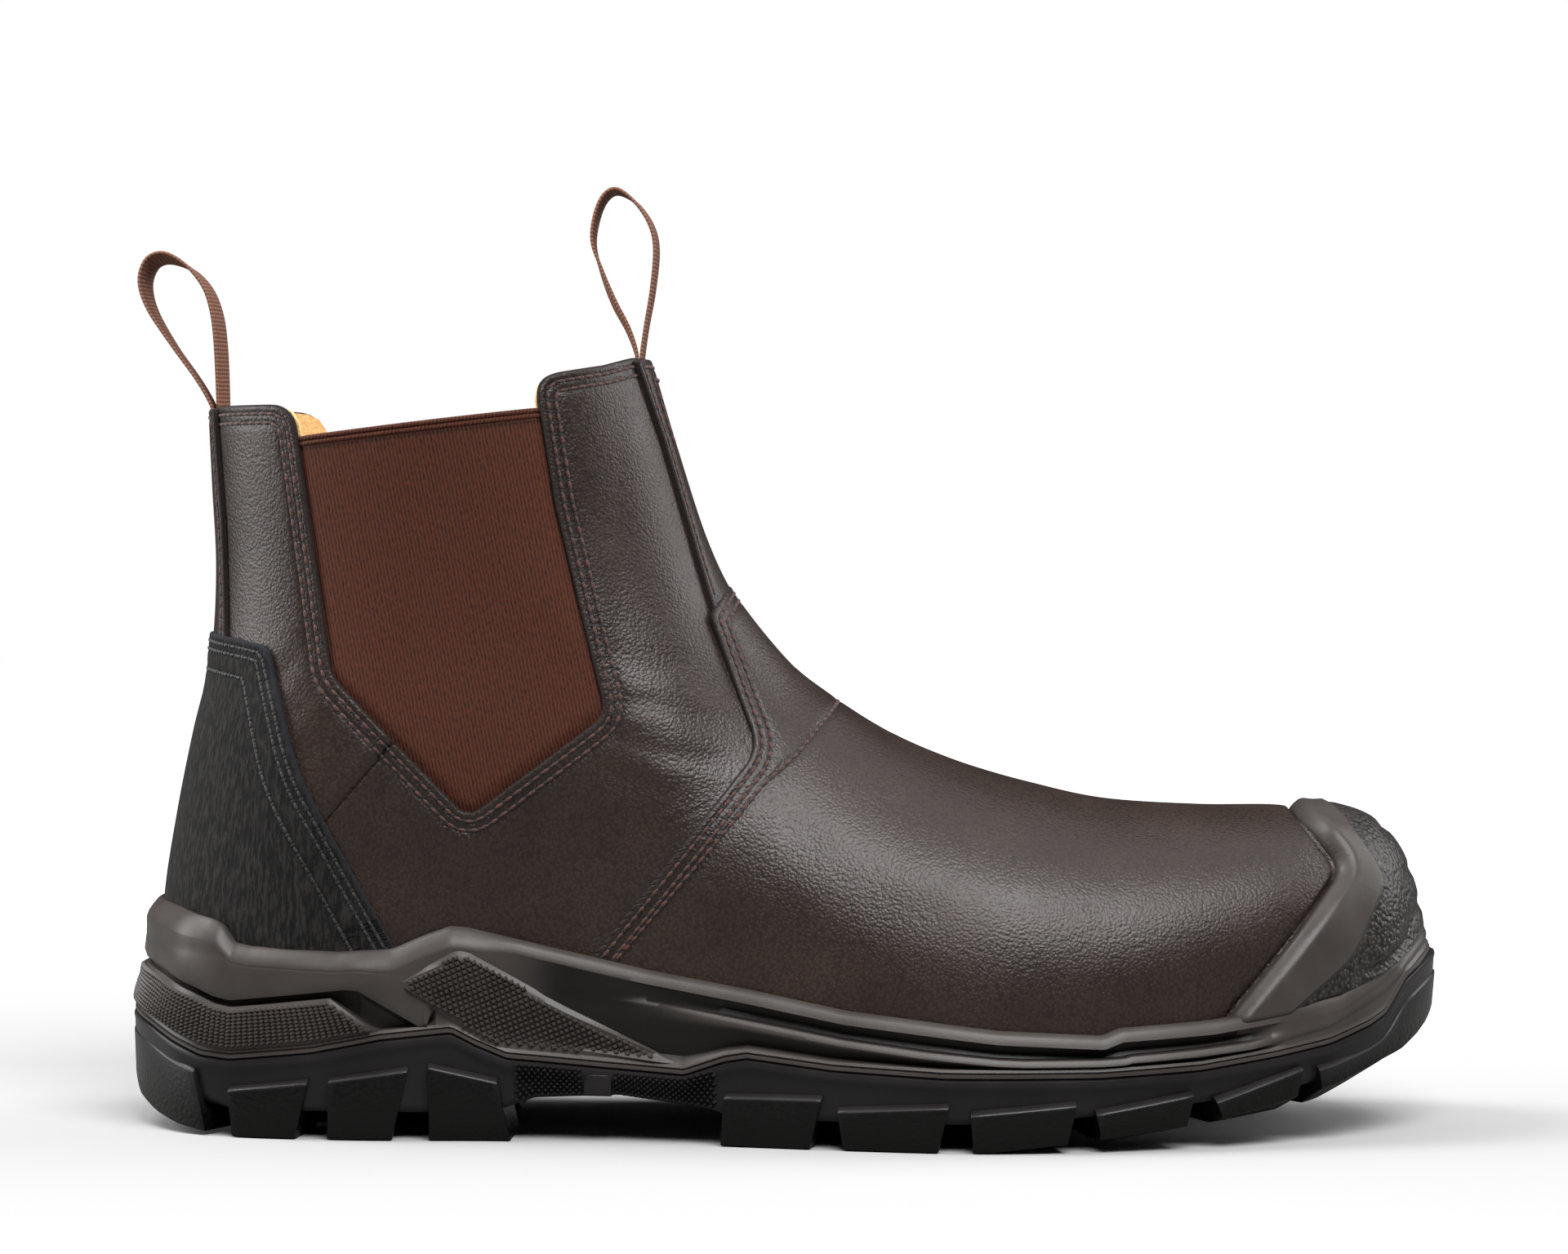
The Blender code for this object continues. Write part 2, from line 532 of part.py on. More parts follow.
def midsole_rows(grow=0.0):
    """Side of the midsole from under the foot round its lower edge to inside its rim."""
    parting, ledge, rim = (along(table, STATIONS) for table in (PARTING, LEDGE, RIM))
    ledge = np.clip(ledge, parting + 2.2, rim - 5.6)
    return [
        (-JOINT_INSET, parting_inside()),
        (grow - 1.0, parting),
        (grow - 0.2, parting + 1.0),
        (grow - 0.2, ledge - 0.7),
        (grow - 1.9, ledge + 0.5),
        (grow - 1.7, rim - 3.2 + grow),
        (grow - 3.2, rim - 0.8 + grow),
        (grow - 4.4, rim + grow),
        (grow - 14.0, rim + 0.4 + grow),
    ]


def build_midsole():
    midsole = sole_loft("midsole", midsole_rows())
    panel = [(0.7, along(PARTING, STATIONS) + 0.3), (0.7, along(RIM, STATIONS) - 1.0)]
    panels = combine(sole_loft("side_panels", panel), "INTERSECT",
                     prism("area", rounded(SIDE_PANEL_AREA)))
    guard = combine(last_form("guard", VAMP_STEP + FIT + GUARD, first_row=HEEL_ROW + 3), "INTERSECT",
                    prism("area", rounded(GUARD_AREA)))
    above = 1.0
    joint = along(PARTING, STATIONS) + above
    combine(guard, "DIFFERENCE", sole_loft("joint", [(6.0, 0 * STATIONS), (6.0, joint), (-1.0, joint),
                                                     (-JOINT_INSET, parting_inside() + above)]))
    combine(midsole, "UNION", panels, guard)
    vamp_room = combine(last_form("vamp_room", VAMP_STEP + FIT, drop=FIT + VAMP_HEM), "INTERSECT",
                        prism("area", grown(rounded(VAMP_AREA), FIT)))
    combine(midsole, "DIFFERENCE", last_form("upper_room", FIT, drop=FIT), vamp_room)
    return finish(midsole, "moulded_pu")


def side_edge(side, first, last, offset, steps):
    """Points along one side of the sole edge between two x, and the way in from each."""
    line = SOLE_OUTER if side < 0 else SOLE_INNER
    x = np.linspace(first, last, steps)
    edge = np.stack([x, np.interp(x, line[:, 0], line[:, 1])], 1)
    run = np.gradient(edge, axis=0)
    run /= np.linalg.norm(run, axis=1)[:, None]
    inward = np.stack([run[:, 1], -run[:, 0]], 1) * side
    return edge - inward * offset, inward


def edge_floor(x):
    """Underside of the lugs at the sole's edge."""
    return along(FLOOR, x) + along(EDGE_LIFT, x)


def end_block(name, rear, front, height):
    """The lug across the whole back or toe of the sole."""
    block = sole_loft(name, [(-12.0, lambda x: along(FLOOR, x)), (-0.9, edge_floor),
                             (-0.1, lambda x: edge_floor(x) + height),
                             (-6.0, lambda x: edge_floor(x) + height)])
    outline = [(rear, -10.0), (front, -10.0), (front, 90.0), (rear, 90.0)]
    return combine(block, "INTERSECT", prism("area", outline))


def lug_block(name, side, lug):
    """One edge lug: outer face along the sole edge, ends leaning so that it widens upwards."""
    steps = 4
    low, inward = side_edge(side, lug.rear, lug.front, -1.0, steps)
    high, high_in = side_edge(side, max(lug.rear - 0.3 * LUG_FLARE, SOLE_OUTER[0, 0] + 0.6),
                              min(lug.front + LUG_FLARE, SOLE_OUTER[-1, 0] - 0.6), 0.0, steps)
    floor = edge_floor(low[:, 0])
    top = edge_floor(high[:, 0]) + lug.height
    inner_low, inner_high = low + inward * lug.depth, high + high_in * lug.depth
    rings = [np.column_stack([low, floor]), np.column_stack([high, top]),
             np.column_stack([inner_high, along(TREAD_BASE, inner_high[:, 0]) + 1.2]),
             np.column_stack([inner_low, along(FLOOR, inner_low[:, 0])])]
    index = np.arange(4 * steps).reshape(4, steps)
    faces = [(index[r, k], index[r, k + 1], index[(r + 1) % 4, k + 1], index[(r + 1) % 4, k])
             for r in range(4) for k in range(steps - 1)]
    faces += [tuple(index[:, 0]), tuple(index[:, -1])]
    return solid(name, np.vstack(rings), faces)


def centre_block(name, rear, front):
    """One lug of the middle row."""
    height = TREAD + 3.0
    outline = [(rear, along(FLOOR, rear)), (front, along(FLOOR, front)),
               (front, along(FLOOR, front) + height), (rear, along(FLOOR, rear) + height)]
    middle = centre_y((rear + front) / 2)
    return prism(name, outline, middle - CENTRE_LUG_HALF, middle + CENTRE_LUG_HALF)


def joined(name, parts):
    """Several separate solids as one mesh object."""
    shape = bmesh.new()
    for part in parts:
        shape.from_mesh(part.data)
        bpy.data.objects.remove(part)
    mesh = bpy.data.meshes.new(name)
    shape.to_mesh(mesh)
    shape.free()
    obj = bpy.data.objects.new(name, mesh)
    bpy.context.scene.collection.objects.link(obj)
    return obj


def build_outsole():
    parting, base = along(PARTING, STATIONS) - FIT, along(TREAD_BASE, STATIONS)
    outsole = sole_loft("outsole", [(-1.6, base), (-1.6, parting - 2.2), (-0.2, parting - 1.5),
                                    (-0.2, parting - 0.3), (-0.6, parting),
                                    (0.4 - JOINT_INSET, parting_inside() - FIT)])
    blocks = [lug_block("lug", side, lug) for side in (-1, 1) for lug in EDGE_LUGS]
    blocks += [centre_block("lug", rear, front) for rear, front in CENTRE_LUGS]
    blocks += [end_block("lug", *row) for row in END_LUGS]
    combine(outsole, "UNION", joined("lugs", blocks))
    return finish(outsole, "black_rubber")


def build_insole():
    """Flat footbed on the midsole's floor, clear of the upper's inner face."""
    clear = WALL + 5 * FIT
    x = np.linspace(FEATHER_LINE[0, 0], FEATHER_LINE[-1, 0], 30)
    x = x[0] + (x[-1] - x[0]) * (1 - np.cos(np.linspace(0, math.pi, len(x)))) / 2
    level = along(FEATHER_LINE, x)
    outer = centre_y(x) - half_width(x, level + INSOLE, -1)
    inner = centre_y(x) + half_width(x, level + INSOLE, 1)
    loop = grown(np.vstack([np.stack([x, outer], 1), np.stack([x, inner], 1)[-2:0:-1]]), -clear)
    count = len(x)
    outer_side = loop[:count]
    inner_side = np.vstack([loop[:1], loop[count:][::-1], loop[count - 1:count]])
    points, faces = [], []
    for i in range(count):
        low = along(FEATHER_LINE, outer_side[i, 0])
        for edge, height in ((outer_side, 0), (outer_side, INSOLE), (inner_side, INSOLE), (inner_side, 0)):
            points.append((*edge[i], low + height))
    for i in range(count - 1):
        faces += [(4 * i + k, 4 * i + (k + 1) % 4, 4 * i + 4 + (k + 1) % 4, 4 * i + 4 + k)
                  for k in range(4)]
    faces += [(0, 1, 2, 3), tuple(range(4 * count - 4, 4 * count))]
    return finish(solid("insole", points, faces), "insole_cloth")


# The upper and what is sewn to it

def build_upper():
    upper = last_form("upper", 0.0)
    vamp = combine(last_form("vamp", VAMP_STEP, drop=VAMP_HEM), "INTERSECT",
                   prism("area", rounded(VAMP_AREA)))
    combine(upper, "UNION", vamp)
    combine(upper, "DIFFERENCE", last_form("inside", -WALL, first_row=0, drop=9.0),
            prism("notch", rounded(GUSSET_NOTCH)))
    return finish(upper, "brown_leather")


def build_gussets():
    """Elastic side panels in the upper's notches, their top edge below the leather's."""
    outline = cut_below(grown(rounded(GUSSET_NOTCH), -FIT), *GUSSET_TOP)
    for name, low_y, high_y in (("gusset_outer", -SPAN, 0.0), ("gusset_inner", 0.0, SPAN)):
        panel = shell(name, -ELASTIC_RECESS, -ELASTIC_RECESS - ELASTIC, outline, low_y, high_y)
        finish(panel, "brown_elastic")


def build_overlays():
    """Counter patch and the strips over the front and back seams, laid on the upper."""
    patch = shell("counter_patch", FIT + OVERLAY, FIT, rounded(COUNTER_AREA))
    combine(patch, "DIFFERENCE", sole_loft("rim_room", midsole_rows(grow=FIT)))
    finish(patch, "black_nubuck")
    for name, area in (("back_strip", BACK_STRIP_AREA), ("front_strip", FRONT_STRIP_AREA)):
        finish(shell(name, FIT + OVERLAY, FIT, rounded(area)), "brown_leather")


def build_pull_loop(name, outside):
    """A loop of tape standing on the collar, its gap open across the boot."""
    outer = spline(outside, 3)
    foot_z = outside[0][1]
    hole = grown(outer, -TAPE_THICK)
    hole = hole[outer[:, 1] > foot_z + TAPE_JOIN]
    obj = prism(name, outer, -TAPE_WIDTH / 2, TAPE_WIDTH / 2)
    combine(obj, "DIFFERENCE", prism("hole", hole, -TAPE_WIDTH, TAPE_WIDTH))
    return finish(obj, "brown_tape")


def main():
    for obj in list(bpy.data.objects):
        bpy.data.objects.remove(obj)
    build_outsole()
    build_midsole()
    build_insole()
    build_upper()
    build_gussets()
    build_overlays()
    for name, outside in PULL_LOOPS.items():
        build_pull_loop(name, outside)


main()
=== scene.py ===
"""Looks of the pull-on safety boot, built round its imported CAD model.

Tables are in millimetres in the part's frame: +X to the toe, the outer side at -Y, +Z up. The last's
centre plane lies at AXIS_Y. Meshes are in metres.
"""
import math

import bpy
import bmesh
import numpy as np
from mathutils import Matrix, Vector, kdtree


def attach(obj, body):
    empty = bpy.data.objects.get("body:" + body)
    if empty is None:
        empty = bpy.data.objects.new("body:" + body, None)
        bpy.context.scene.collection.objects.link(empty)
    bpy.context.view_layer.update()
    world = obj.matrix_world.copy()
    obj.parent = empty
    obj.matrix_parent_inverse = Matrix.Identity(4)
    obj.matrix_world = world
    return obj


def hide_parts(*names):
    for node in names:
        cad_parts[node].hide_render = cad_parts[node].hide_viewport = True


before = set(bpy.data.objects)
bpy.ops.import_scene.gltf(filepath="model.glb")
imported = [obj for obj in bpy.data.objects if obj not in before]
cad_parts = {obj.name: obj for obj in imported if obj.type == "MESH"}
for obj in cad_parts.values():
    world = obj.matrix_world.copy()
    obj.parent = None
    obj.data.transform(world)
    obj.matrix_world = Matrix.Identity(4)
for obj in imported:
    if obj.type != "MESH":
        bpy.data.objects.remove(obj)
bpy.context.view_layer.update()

MM = 0.001
AXIS_Y = 2.4

# Leather build-up over the last, measured out along its normals
VAMP_TOP = 1.2
OVERLAY_TOP = 1.5          # strips and counter patch
QUARTER_THICK, VAMP_THICK, OVERLAY_THICK = 1.3, 1.25, 1.45
TUCK = 7.0                 # how far leather runs on below the midsole's rim
OVERLAP = 9.0              # how far it runs on under the vamp and under the toe guard
SEAM_LAP = 4.0             # how far the rear quarter runs on under the front one
SEAM_DIP, SEAM_SWELL = 1.1, 0.3     # the rear quarter under the seam and beside it
SEAM_FOLD = 0.55           # the front quarter's folded edge
VAMP_RISE, COUNTER_RISE = 0.7, 1.0  # over the ends of the front and back strips
RISE_LOW = 98.0            # height at which they start to rise
LINING = (-1.45, -2.4)
LINING_DIP, LINING_BACK = 1.4, 0.4  # deeper behind the elastic; set back from the collar's edge
ELASTIC_HEM, ELASTIC_FRONT_X = 3.5, -36.0    # run on under the leather; none ahead of this x
ELASTIC_OPEN, ELASTIC_TUCKED, ELASTIC_THICK = -0.4, -1.5, 1.1
CORDS, CORD_RADIUS = (0.5, 1.7), 0.62    # two cords bound into the elastic's top edge: depth below it
CORD_SINK, CORD_STEP = 0.25, 1.5
SEWN_BELOW, SEWN_HALF = 2.9, 0.7    # dark sewn line under the cords
ELASTIC_CUTS = (2.2, SEWN_BELOW, 3.6)
GUARD_TOP = 5.1            # toe guard over the last
GUARD_UNDER, GUARD_TUCK = 0.6, 4.0  # its underside, and how far it runs on below the rim
GUARD_GAP, GAP_AT, GAP_HALF = 1.5, -0.35, 0.6    # shadow gap along its edge: depth, place, half width
GAP_CUTS = (-1.4, -0.9, GAP_AT, 0.2)
CRESCENT_DEPTH, CRESCENT_CUTS = 0.8, (-0.3, 0.3, 0.9)
SOLE_MARGIN = 5.5          # sole edge outside the upper
TOE_INFLARE = 6.0

# Panel edges and stitch rows, as distances from a raw edge
EDGE_ROLL, ROLL_WIDTH = 0.4, 1.0    # how far an edge rolls down, and over what width
UNCUT = 5.0                # distance at which no cut edge or row shows
SEWN_ROWS = (2.1, 4.2)
STRIP_ROW = 1.9
COUNTER_ROWS = (1.9, 3.8, 8.6)
TACK_ROW, TACK_LOW = 5.0, 157.0     # row that tacks the front loop's tape down, and where it ends
LOW_ROW_END = 100.0        # height at which the vamp's third row ends
ROW_HALF = 0.65            # half the width of the groove that a row presses in
ROW_DEPTH, ROW_FADE = 0.3, 0.7
STITCH_PITCH, STITCH_HALF, STITCH_LIFT = 2.6, 0.36, 0.12    # half is a share of the pitch
HOLE_AT, HOLE_SINK = 1.22, 0.02     # needle holes from a stitch's middle

# The last, section by section from above the collar down and forward to the toe:
# front x and z, back x and z, and how far the section closes round the heel
SECTIONS = np.array([
    (-38.2, 191.6, -135.6, 180.0, 1.0), (-34.2, 177.8, -134.9, 165.8, 1.0),
    (-27.8, 156.6, -133.9, 148.0, 1.0), (-20.4, 134.6, -132.8, 128.0, 1.0),
    (-12.8, 120.0, -133.8, 108.0, 1.0), (-1.0, 106.4, -137.8, 90.0, 1.0),
    (9.0, 98.8, -141.4, 71.0, 1.0), (16.5, 93.8, -144.2, 51.0, 1.0), (22.0, 90.6, -144.4, 31.0, 1.0),
    (24.4, 89.4, -141.0, 31.0, 0.8), (28.0, 87.7, -131.0, 31.0, 0.6), (34.0, 85.2, -111.0, 30.6, 0.3),
    (43.0, 82.0, -75.0, 29.0, 0.0), (56.0, 78.4, -30.0, 25.0, 0.0), (74.0, 74.6, 20.0, 20.8, 0.0),
    (97.0, 73.2, 75.0, 19.2, 0.0), (117.0, 73.0, 108.0, 21.8, 0.0), (130.0, 69.8, 126.0, 25.4, 0.0),
    (138.8, 62.8, 136.0, 28.6, 0.0), (143.4, 51.0, 141.5, 31.0, 0.0), (145.2, 38.0, 144.4, 32.6, 0.0)])
SPAN_STEPS = (8, 16, 16, 14, 15, 15, 15, 15, 4, 6, 10, 12, 15, 18, 20, 16, 14, 12, 10, 6)
HEEL_ROW = 8
GIRTH_STEPS = 140          # points from the front line to the back, each side
# z, half width, rounding at the front and at the back
SHAFT = [(30.0, 37.0, 6.0, 38.0), (60.0, 37.0, 8.0, 38.0), (85.0, 36.5, 20.0, 40.0),
         (110.0, 35.5, 38.0, 43.0), (135.0, 36.0, 48.0, 46.0), (166.0, 38.0, 52.0, 50.0),
         (190.0, 38.5, 52.0, 50.0)]
ANKLE_LOW, ANKLE_HIGH, HEEL_FLAT_X = 55.0, 115.0, -105.0
FRONT_RUN_ON = (3.45, 0.6)          # slope and curve that carry the front line on above the collar
VAMP_ROUND = [(-40.0, 90.0), (-15.0, 76.0), (10.0, 64.0), (40.0, 52.0), (75.0, 40.0), (105.0, 31.0),
              (130.0, 26.0), (146.0, 22.0)]
SOLE_OUTLINE = [
    (-152.6, 0.0), (-147.0, -20.0), (-131.0, -36.0), (-100.0, -42.0), (-60.0, -41.5), (-22.0, -46.0),
    (18.0, -54.0), (46.0, -56.6), (80.0, -51.5), (112.0, -39.5), (134.0, -25.0), (147.5, -9.0),
    (152.8, 6.0), (147.0, 21.5), (132.0, 36.0), (108.0, 46.5), (76.0, 51.6), (44.0, 50.5), (10.0, 45.0),
    (-25.0, 39.5), (-60.0, 38.5), (-100.0, 41.0), (-131.0, 36.0), (-147.0, 20.0)]

# Side-view outlines of the leather pieces: corners (x, z, corner radius)
GUSSET_SIDES = [(-53.2, 143.0, 40), (-41.4, 96.0, 6), (-72.5, 72.3, 4), (-104.0, 104.4, 10)]
COLLAR_CUT = [(-10.0, 179.0, 0), (-33.0, 178.2, 0), (-36.5, 178.0, 3), (-43.0, 175.7, 6), (-58.2, 172.6, 6),
              *GUSSET_SIDES, (-113.8, 165.8, 7), (-131.0, 165.8, 0), (-165.0, 165.8, 0),
              (-165.0, 220.0, 0), (-10.0, 220.0, 0)]
GUSSET_ONLY = [(-57.5, 168.0, 0), *GUSSET_SIDES, (-113.5, 162.0, 0)]
GUSSET_TOP = [(-40.0, 167.6), (-57.0, 165.4), (-113.4, 158.2), (-130.0, 156.1)]
VAMP_AREA = [(-7.0, 139.0, 0), (-19.0, 118.0, 3), (-7.0, 88.0, 9), (-43.5, 42.0, 0), (-62.0, 18.0, 0),
             (170.0, -10.0, 0), (170.0, 139.0, 0)]
GUARD_AREA = [(99.0, 29.0, 6), (127.0, 60.5, 5), (118.6, 72.0, 4), (117.4, 90.0, 0), (180.0, 90.0, 0),
              (180.0, 5.0, 0), (99.0, 5.0, 0)]
COUNTER_AREA = [(-165.0, 117.9, 0), (-134.0, 113.4, 0), (-118.6, 110.6, 4), (-110.9, 82.0, 60),
                (-86.0, 38.0, 0), (-80.0, 10.0, 0), (-165.0, 10.0, 0)]
BACK_STRIP_AREA = [(-165.0, 165.0, 0), (-133.0, 165.4, 0), (-130.6, 139.0, 0), (-128.6, 92.0, 0),
                   (-165.0, 92.0, 0)]
BACK_STRIP_END = 106.0
FRONT_STRIP_EDGE = [(-36.8, 177.4, 0), (-30.1, 157.9, 0), (-22.0, 131.0, 0), (-16.5, 114.0, 0)]
FRONT_STRIP_AREA = [*FRONT_STRIP_EDGE, (10.0, 112.0, 0), (10.0, 178.4, 0)]
FRONT_STRIP_LONG = [*FRONT_STRIP_EDGE, (-4.0, 84.0, 0), (60.0, 84.0, 0), (10.0, 178.4, 0)]
QUARTER_SEAM = [(-85.0, 240.0), (-85.0, 170.0), (-72.0, 110.0), (-89.3, 89.0), (-106.0, 69.3),
                (-128.0, 43.0), (-160.0, 5.0)]
LOW_VAMP_ROW = [(30.0, 119.8), (11.8, 98.3), (2.0, 86.7), (-5.6, 80.0), (-38.6, 40.4), (-62.0, 12.0)]
CRESCENT = [(121.0, 76.0, 0), (126.0, 71.0, 3), (133.8, 57.0, 8), (126.0, 41.5, 20), (109.0, 27.6, 1),
            (127.0, 32.0, 10), (138.0, 39.5, 4), (147.5, 48.8, 2), (160.0, 50.0, 0), (160.0, 90.0, 0),
            (121.0, 90.0, 0)]
# Flutes in the toe guard: side-view line, depth, width
TOE_FLUTES = [([(131.0, 38.0), (138.0, 43.0), (142.0, 50.0), (150.5, 53.5)], 0.8, 1.2),
              ([(140.0, 57.5), (144.0, 58.5), (150.0, 59.0)], 0.6, 1.2),
              ([(136.0, 65.5), (140.0, 67.0), (146.0, 68.0)], 0.6, 1.2)]
# The guard's rear chamfer: distance from its edge, height over the last
GUARD_CHAMFER = [(0.0, 1.6), (0.2, 2.3), (0.5, 2.9), (1.1, 3.8), (1.9, 4.7), (2.5, 5.0), (3.1, GUARD_TOP)]

# Soft creases where the ankle bends: side-view line, depth, width
CREASES = [
    ([(-38.0, 99.0), (-28.0, 98.0), (-17.0, 94.0)], 0.12, 1.9),
    ([(-39.0, 91.0), (-28.0, 87.5), (-13.0, 85.0)], 0.14, 2.1),
    ([(-45.0, 85.0), (-35.0, 80.5), (-22.0, 76.0)], 0.10, 2.4),
    ([(-43.0, 112.0), (-34.0, 108.0), (-23.0, 107.5)], 0.08, 2.6),
    ([(-109.0, 111.0), (-115.0, 105.0), (-121.0, 101.0)], 0.16, 2.6),
    ([(-103.0, 95.0), (-108.0, 89.0), (-112.0, 85.0)], 0.15, 2.4),
    ([(0.0, 70.0), (18.0, 57.0), (36.0, 52.0)], 0.18, 5.0),
]
CREASE_FADE = 6.0          # run over which a crease starts and ends
CREASE_ROLL, ROLL_AT = 0.55, 1.9    # roll beside a crease: share of its depth, place in its widths

# Heights along the sole by x
PARTING = [(-152.6, 25.6), (-146.0, 23.2), (-140.0, 20.4), (-133.0, 17.9), (-126.0, 17.3), (-107.0, 19.3),
           (-91.5, 22.4), (-75.5, 24.1), (-70.0, 21.3), (-63.0, 18.4), (-42.0, 16.8), (-23.0, 15.5),
           (-14.0, 18.7), (-9.0, 19.6), (10.0, 17.5), (35.0, 16.3), (70.0, 16.4), (93.0, 17.6),
           (111.0, 20.0), (124.0, 22.2), (134.0, 25.6), (138.0, 27.8), (143.7, 35.5), (148.0, 38.2),
           (152.8, 41.0)]
GROOVE = [(-152.6, 38.2), (-149.4, 37.5), (-141.7, 35.5), (-135.4, 33.6), (-129.9, 31.4), (-126.0, 30.7),
          (-117.0, 31.7), (-107.0, 32.8), (-100.0, 33.6), (-96.7, 33.5), (-90.0, 29.7), (-79.0, 23.4),
          (-70.0, 20.0), (160.0, 10.0)]
RIB = [(-152.6, 42.0), (-100.0, 37.0), (-60.0, 34.0), (-28.0, 30.7), (-8.0, 27.3), (12.0, 23.9),
       (29.7, 21.7), (47.0, 20.1), (69.0, 19.2), (73.0, 19.3), (77.0, 20.6), (93.0, 21.7), (105.0, 22.9),
       (124.0, 27.0), (138.0, 34.0), (152.8, 45.0)]
RIM = [(-152.6, 51.6), (-143.8, 50.6), (-132.6, 48.8), (-129.5, 47.5), (-126.2, 43.6), (-122.0, 42.9),
       (-102.0, 42.0), (-89.0, 42.8), (-82.6, 45.6), (-76.0, 48.0), (-71.9, 47.7), (-55.4, 43.9),
       (-32.0, 38.8), (-8.0, 34.7), (12.3, 30.9), (47.0, 27.0), (71.0, 25.8), (75.0, 27.4), (96.0, 28.6),
       (110.0, 30.5), (127.0, 33.2), (138.0, 39.5), (146.0, 46.5), (152.8, 49.5)]
TREAD_BASE = [(-152.6, 15.0), (-140.0, 8.5), (-126.0, 6.0), (-66.0, 6.0), (-57.0, 9.5), (-38.0, 10.5),
              (-18.0, 8.0), (-12.0, 6.0), (45.0, 6.0), (70.0, 7.8), (90.0, 9.8), (116.0, 12.6),
              (125.5, 14.2), (136.0, 17.6), (143.0, 20.6), (147.0, 23.8), (150.3, 27.0), (152.8, 30.5)]
FLOOR = [(-152.6, 12.0), (-150.0, 7.0), (-145.0, 4.0), (-139.0, 2.0), (-130.0, 0.6), (-125.5, 0.0),
         (45.0, 0.0), (63.0, 1.2), (70.0, 1.8), (90.0, 4.0), (98.0, 4.8), (116.0, 7.2), (125.5, 8.9),
         (136.0, 12.9), (142.7, 16.7), (146.9, 20.4), (150.3, 24.3), (152.8, 28.5)]
EDGE_LIFT = [(45.0, 0.0), (70.0, 0.9), (98.0, 1.6), (116.0, 3.6), (125.0, 4.2), (137.0, 4.2), (146.0, 2.0),
             (152.8, 0.0)]
# The midsole's side from its foot up: beads as offset and height over the parting, then the heel groove as
# height from its line (none at its foot) and offset, then the lip as share of its rise and as offsets where
# it is slim and where it is broad
BEADS = [(-3.5, 0.0), (-1.2, 0.0), (-0.45, 0.35), (-0.45, 0.95), (-1.0, 1.25), (-0.5, 1.6), (-0.8, 2.2)]
HEEL_GROOVE = [(None, -5.4), (-1.6, -5.4), (-0.5, -4.6), (0.1, -0.6), (1.5, -0.15)]
LIP = [(0.25, -0.85, -1.0), (0.55, -1.25, -1.9), (0.8, -1.7, -2.8), (0.92, -2.3, -3.3), (1.0, -3.5, -3.9)]
SHADED_ROWS, RIB_ROWS = (7, 8, 9, 10, 11, 15, 16, 17), (12, 13, 14)    # wall rows whose colour is painted darker as painted shade; the rib's rows only towards the rear
WALL_SHADE = 0.9
# Lug faces as seen on the side: rear top x and z, front top x and z, front and rear x at the floor; reach in
LUG_FACES = [
    (-126.3, 11.3, -107.7, 13.5, -110.6, -125.3, 22.0), (-103.2, 13.9, -85.0, 16.6, -88.6, -103.3, 24.0),
    (-80.7, 17.4, -65.0, 14.0, -61.9, -80.2, 24.0), (-14.1, 11.8, 7.9, 12.0, 5.1, -14.8, 26.0),
    (11.3, 9.5, 36.2, 11.0, 33.7, 12.5, 31.0), (40.8, 9.3, 64.7, 11.5, 62.8, 41.6, 31.0),
    (68.9, 9.4, 91.4, 13.2, 90.0, 70.4, 28.0), (96.4, 11.4, 117.1, 18.0, 116.1, 98.5, 22.0)]
HEEL_LUG_X, TOE_LUG_X = (-131.8, -134.6), (122.0, 121.0)    # ends at the floor and at the top
END_LUG_STEPS = 40
CENTRE_LUGS = [(-122.0, -104.0), (-99.0, -70.0), (-10.0, 16.0), (22.0, 48.0), (54.0, 76.0), (82.0, 100.0)]
CENTRE_LUG_HALF, CENTRE_LUG_BEVEL = 10.5, 0.8
LUG_BEVEL, LUG_KEEN = 0.5, 35.0     # bevel, on edges sharper than this angle
GRAINED, LUG_FACE_SHADE = 0.5, 1.7      # how far the mould's grain shows on the lug faces, and how far their colour is painted darker as painted shade

# Raised textured panels on the midsole's side and the plain plate in the outsole's arch
HEEL_PANEL_X = (-103.0, -91.0)      # front end at the top and at the foot
HEEL_PANEL_OUT, HEEL_PANEL_RIM, HEEL_PANEL_BULGE = -0.85, 0.55, 0.55
HEEL_PANEL_AT = (-110.0, 0.0, 25.0)
HEEL_SCALES = (118, 12)
SIDE_PANEL_TOP = [(-87.0, 35.4), (-80.6, 39.4), (-75.2, 42.5), (-73.4, 42.7), (-71.4, 42.2), (-48.0, 29.6),
                  (-25.0, 18.4)]
SIDE_PANEL_LOW = [(-86.6, 34.6), (-78.0, 28.4), (-68.0, 22.0), (-64.0, 20.9), (-56.0, 20.2), (-40.0, 19.1),
                  (-25.2, 18.0)]
SCALE_PITCH = (1.6, 0.95)  # scales of the side panels: along and across
SIDE_SCALES, SIDE_SCALES_AT = (100, 60), (-56.0, 29.0)      # how many are laid out, and round which place
SIDE_SCALES_END, SCALE_MARGIN = -29.0, 1.1
ARCH_PLATE_X, ARCH_PLATE_Z = (-45.4, -39.4), (10.5, 10.9, 13.0, 15.0, 15.4)
ARCH_PLATE_AT = (-42.4, 0.0, 13.0)
ARCH_SCALES, ARCH_SCALES_X = (32, 9), (-61.0, 45.0)         # count; rear end and length
ARCH_CLEAR = 3.8           # scales keep this far from the plate's middle
PLATE_SINK = 2.5           # how far a plate's back lies in the wall

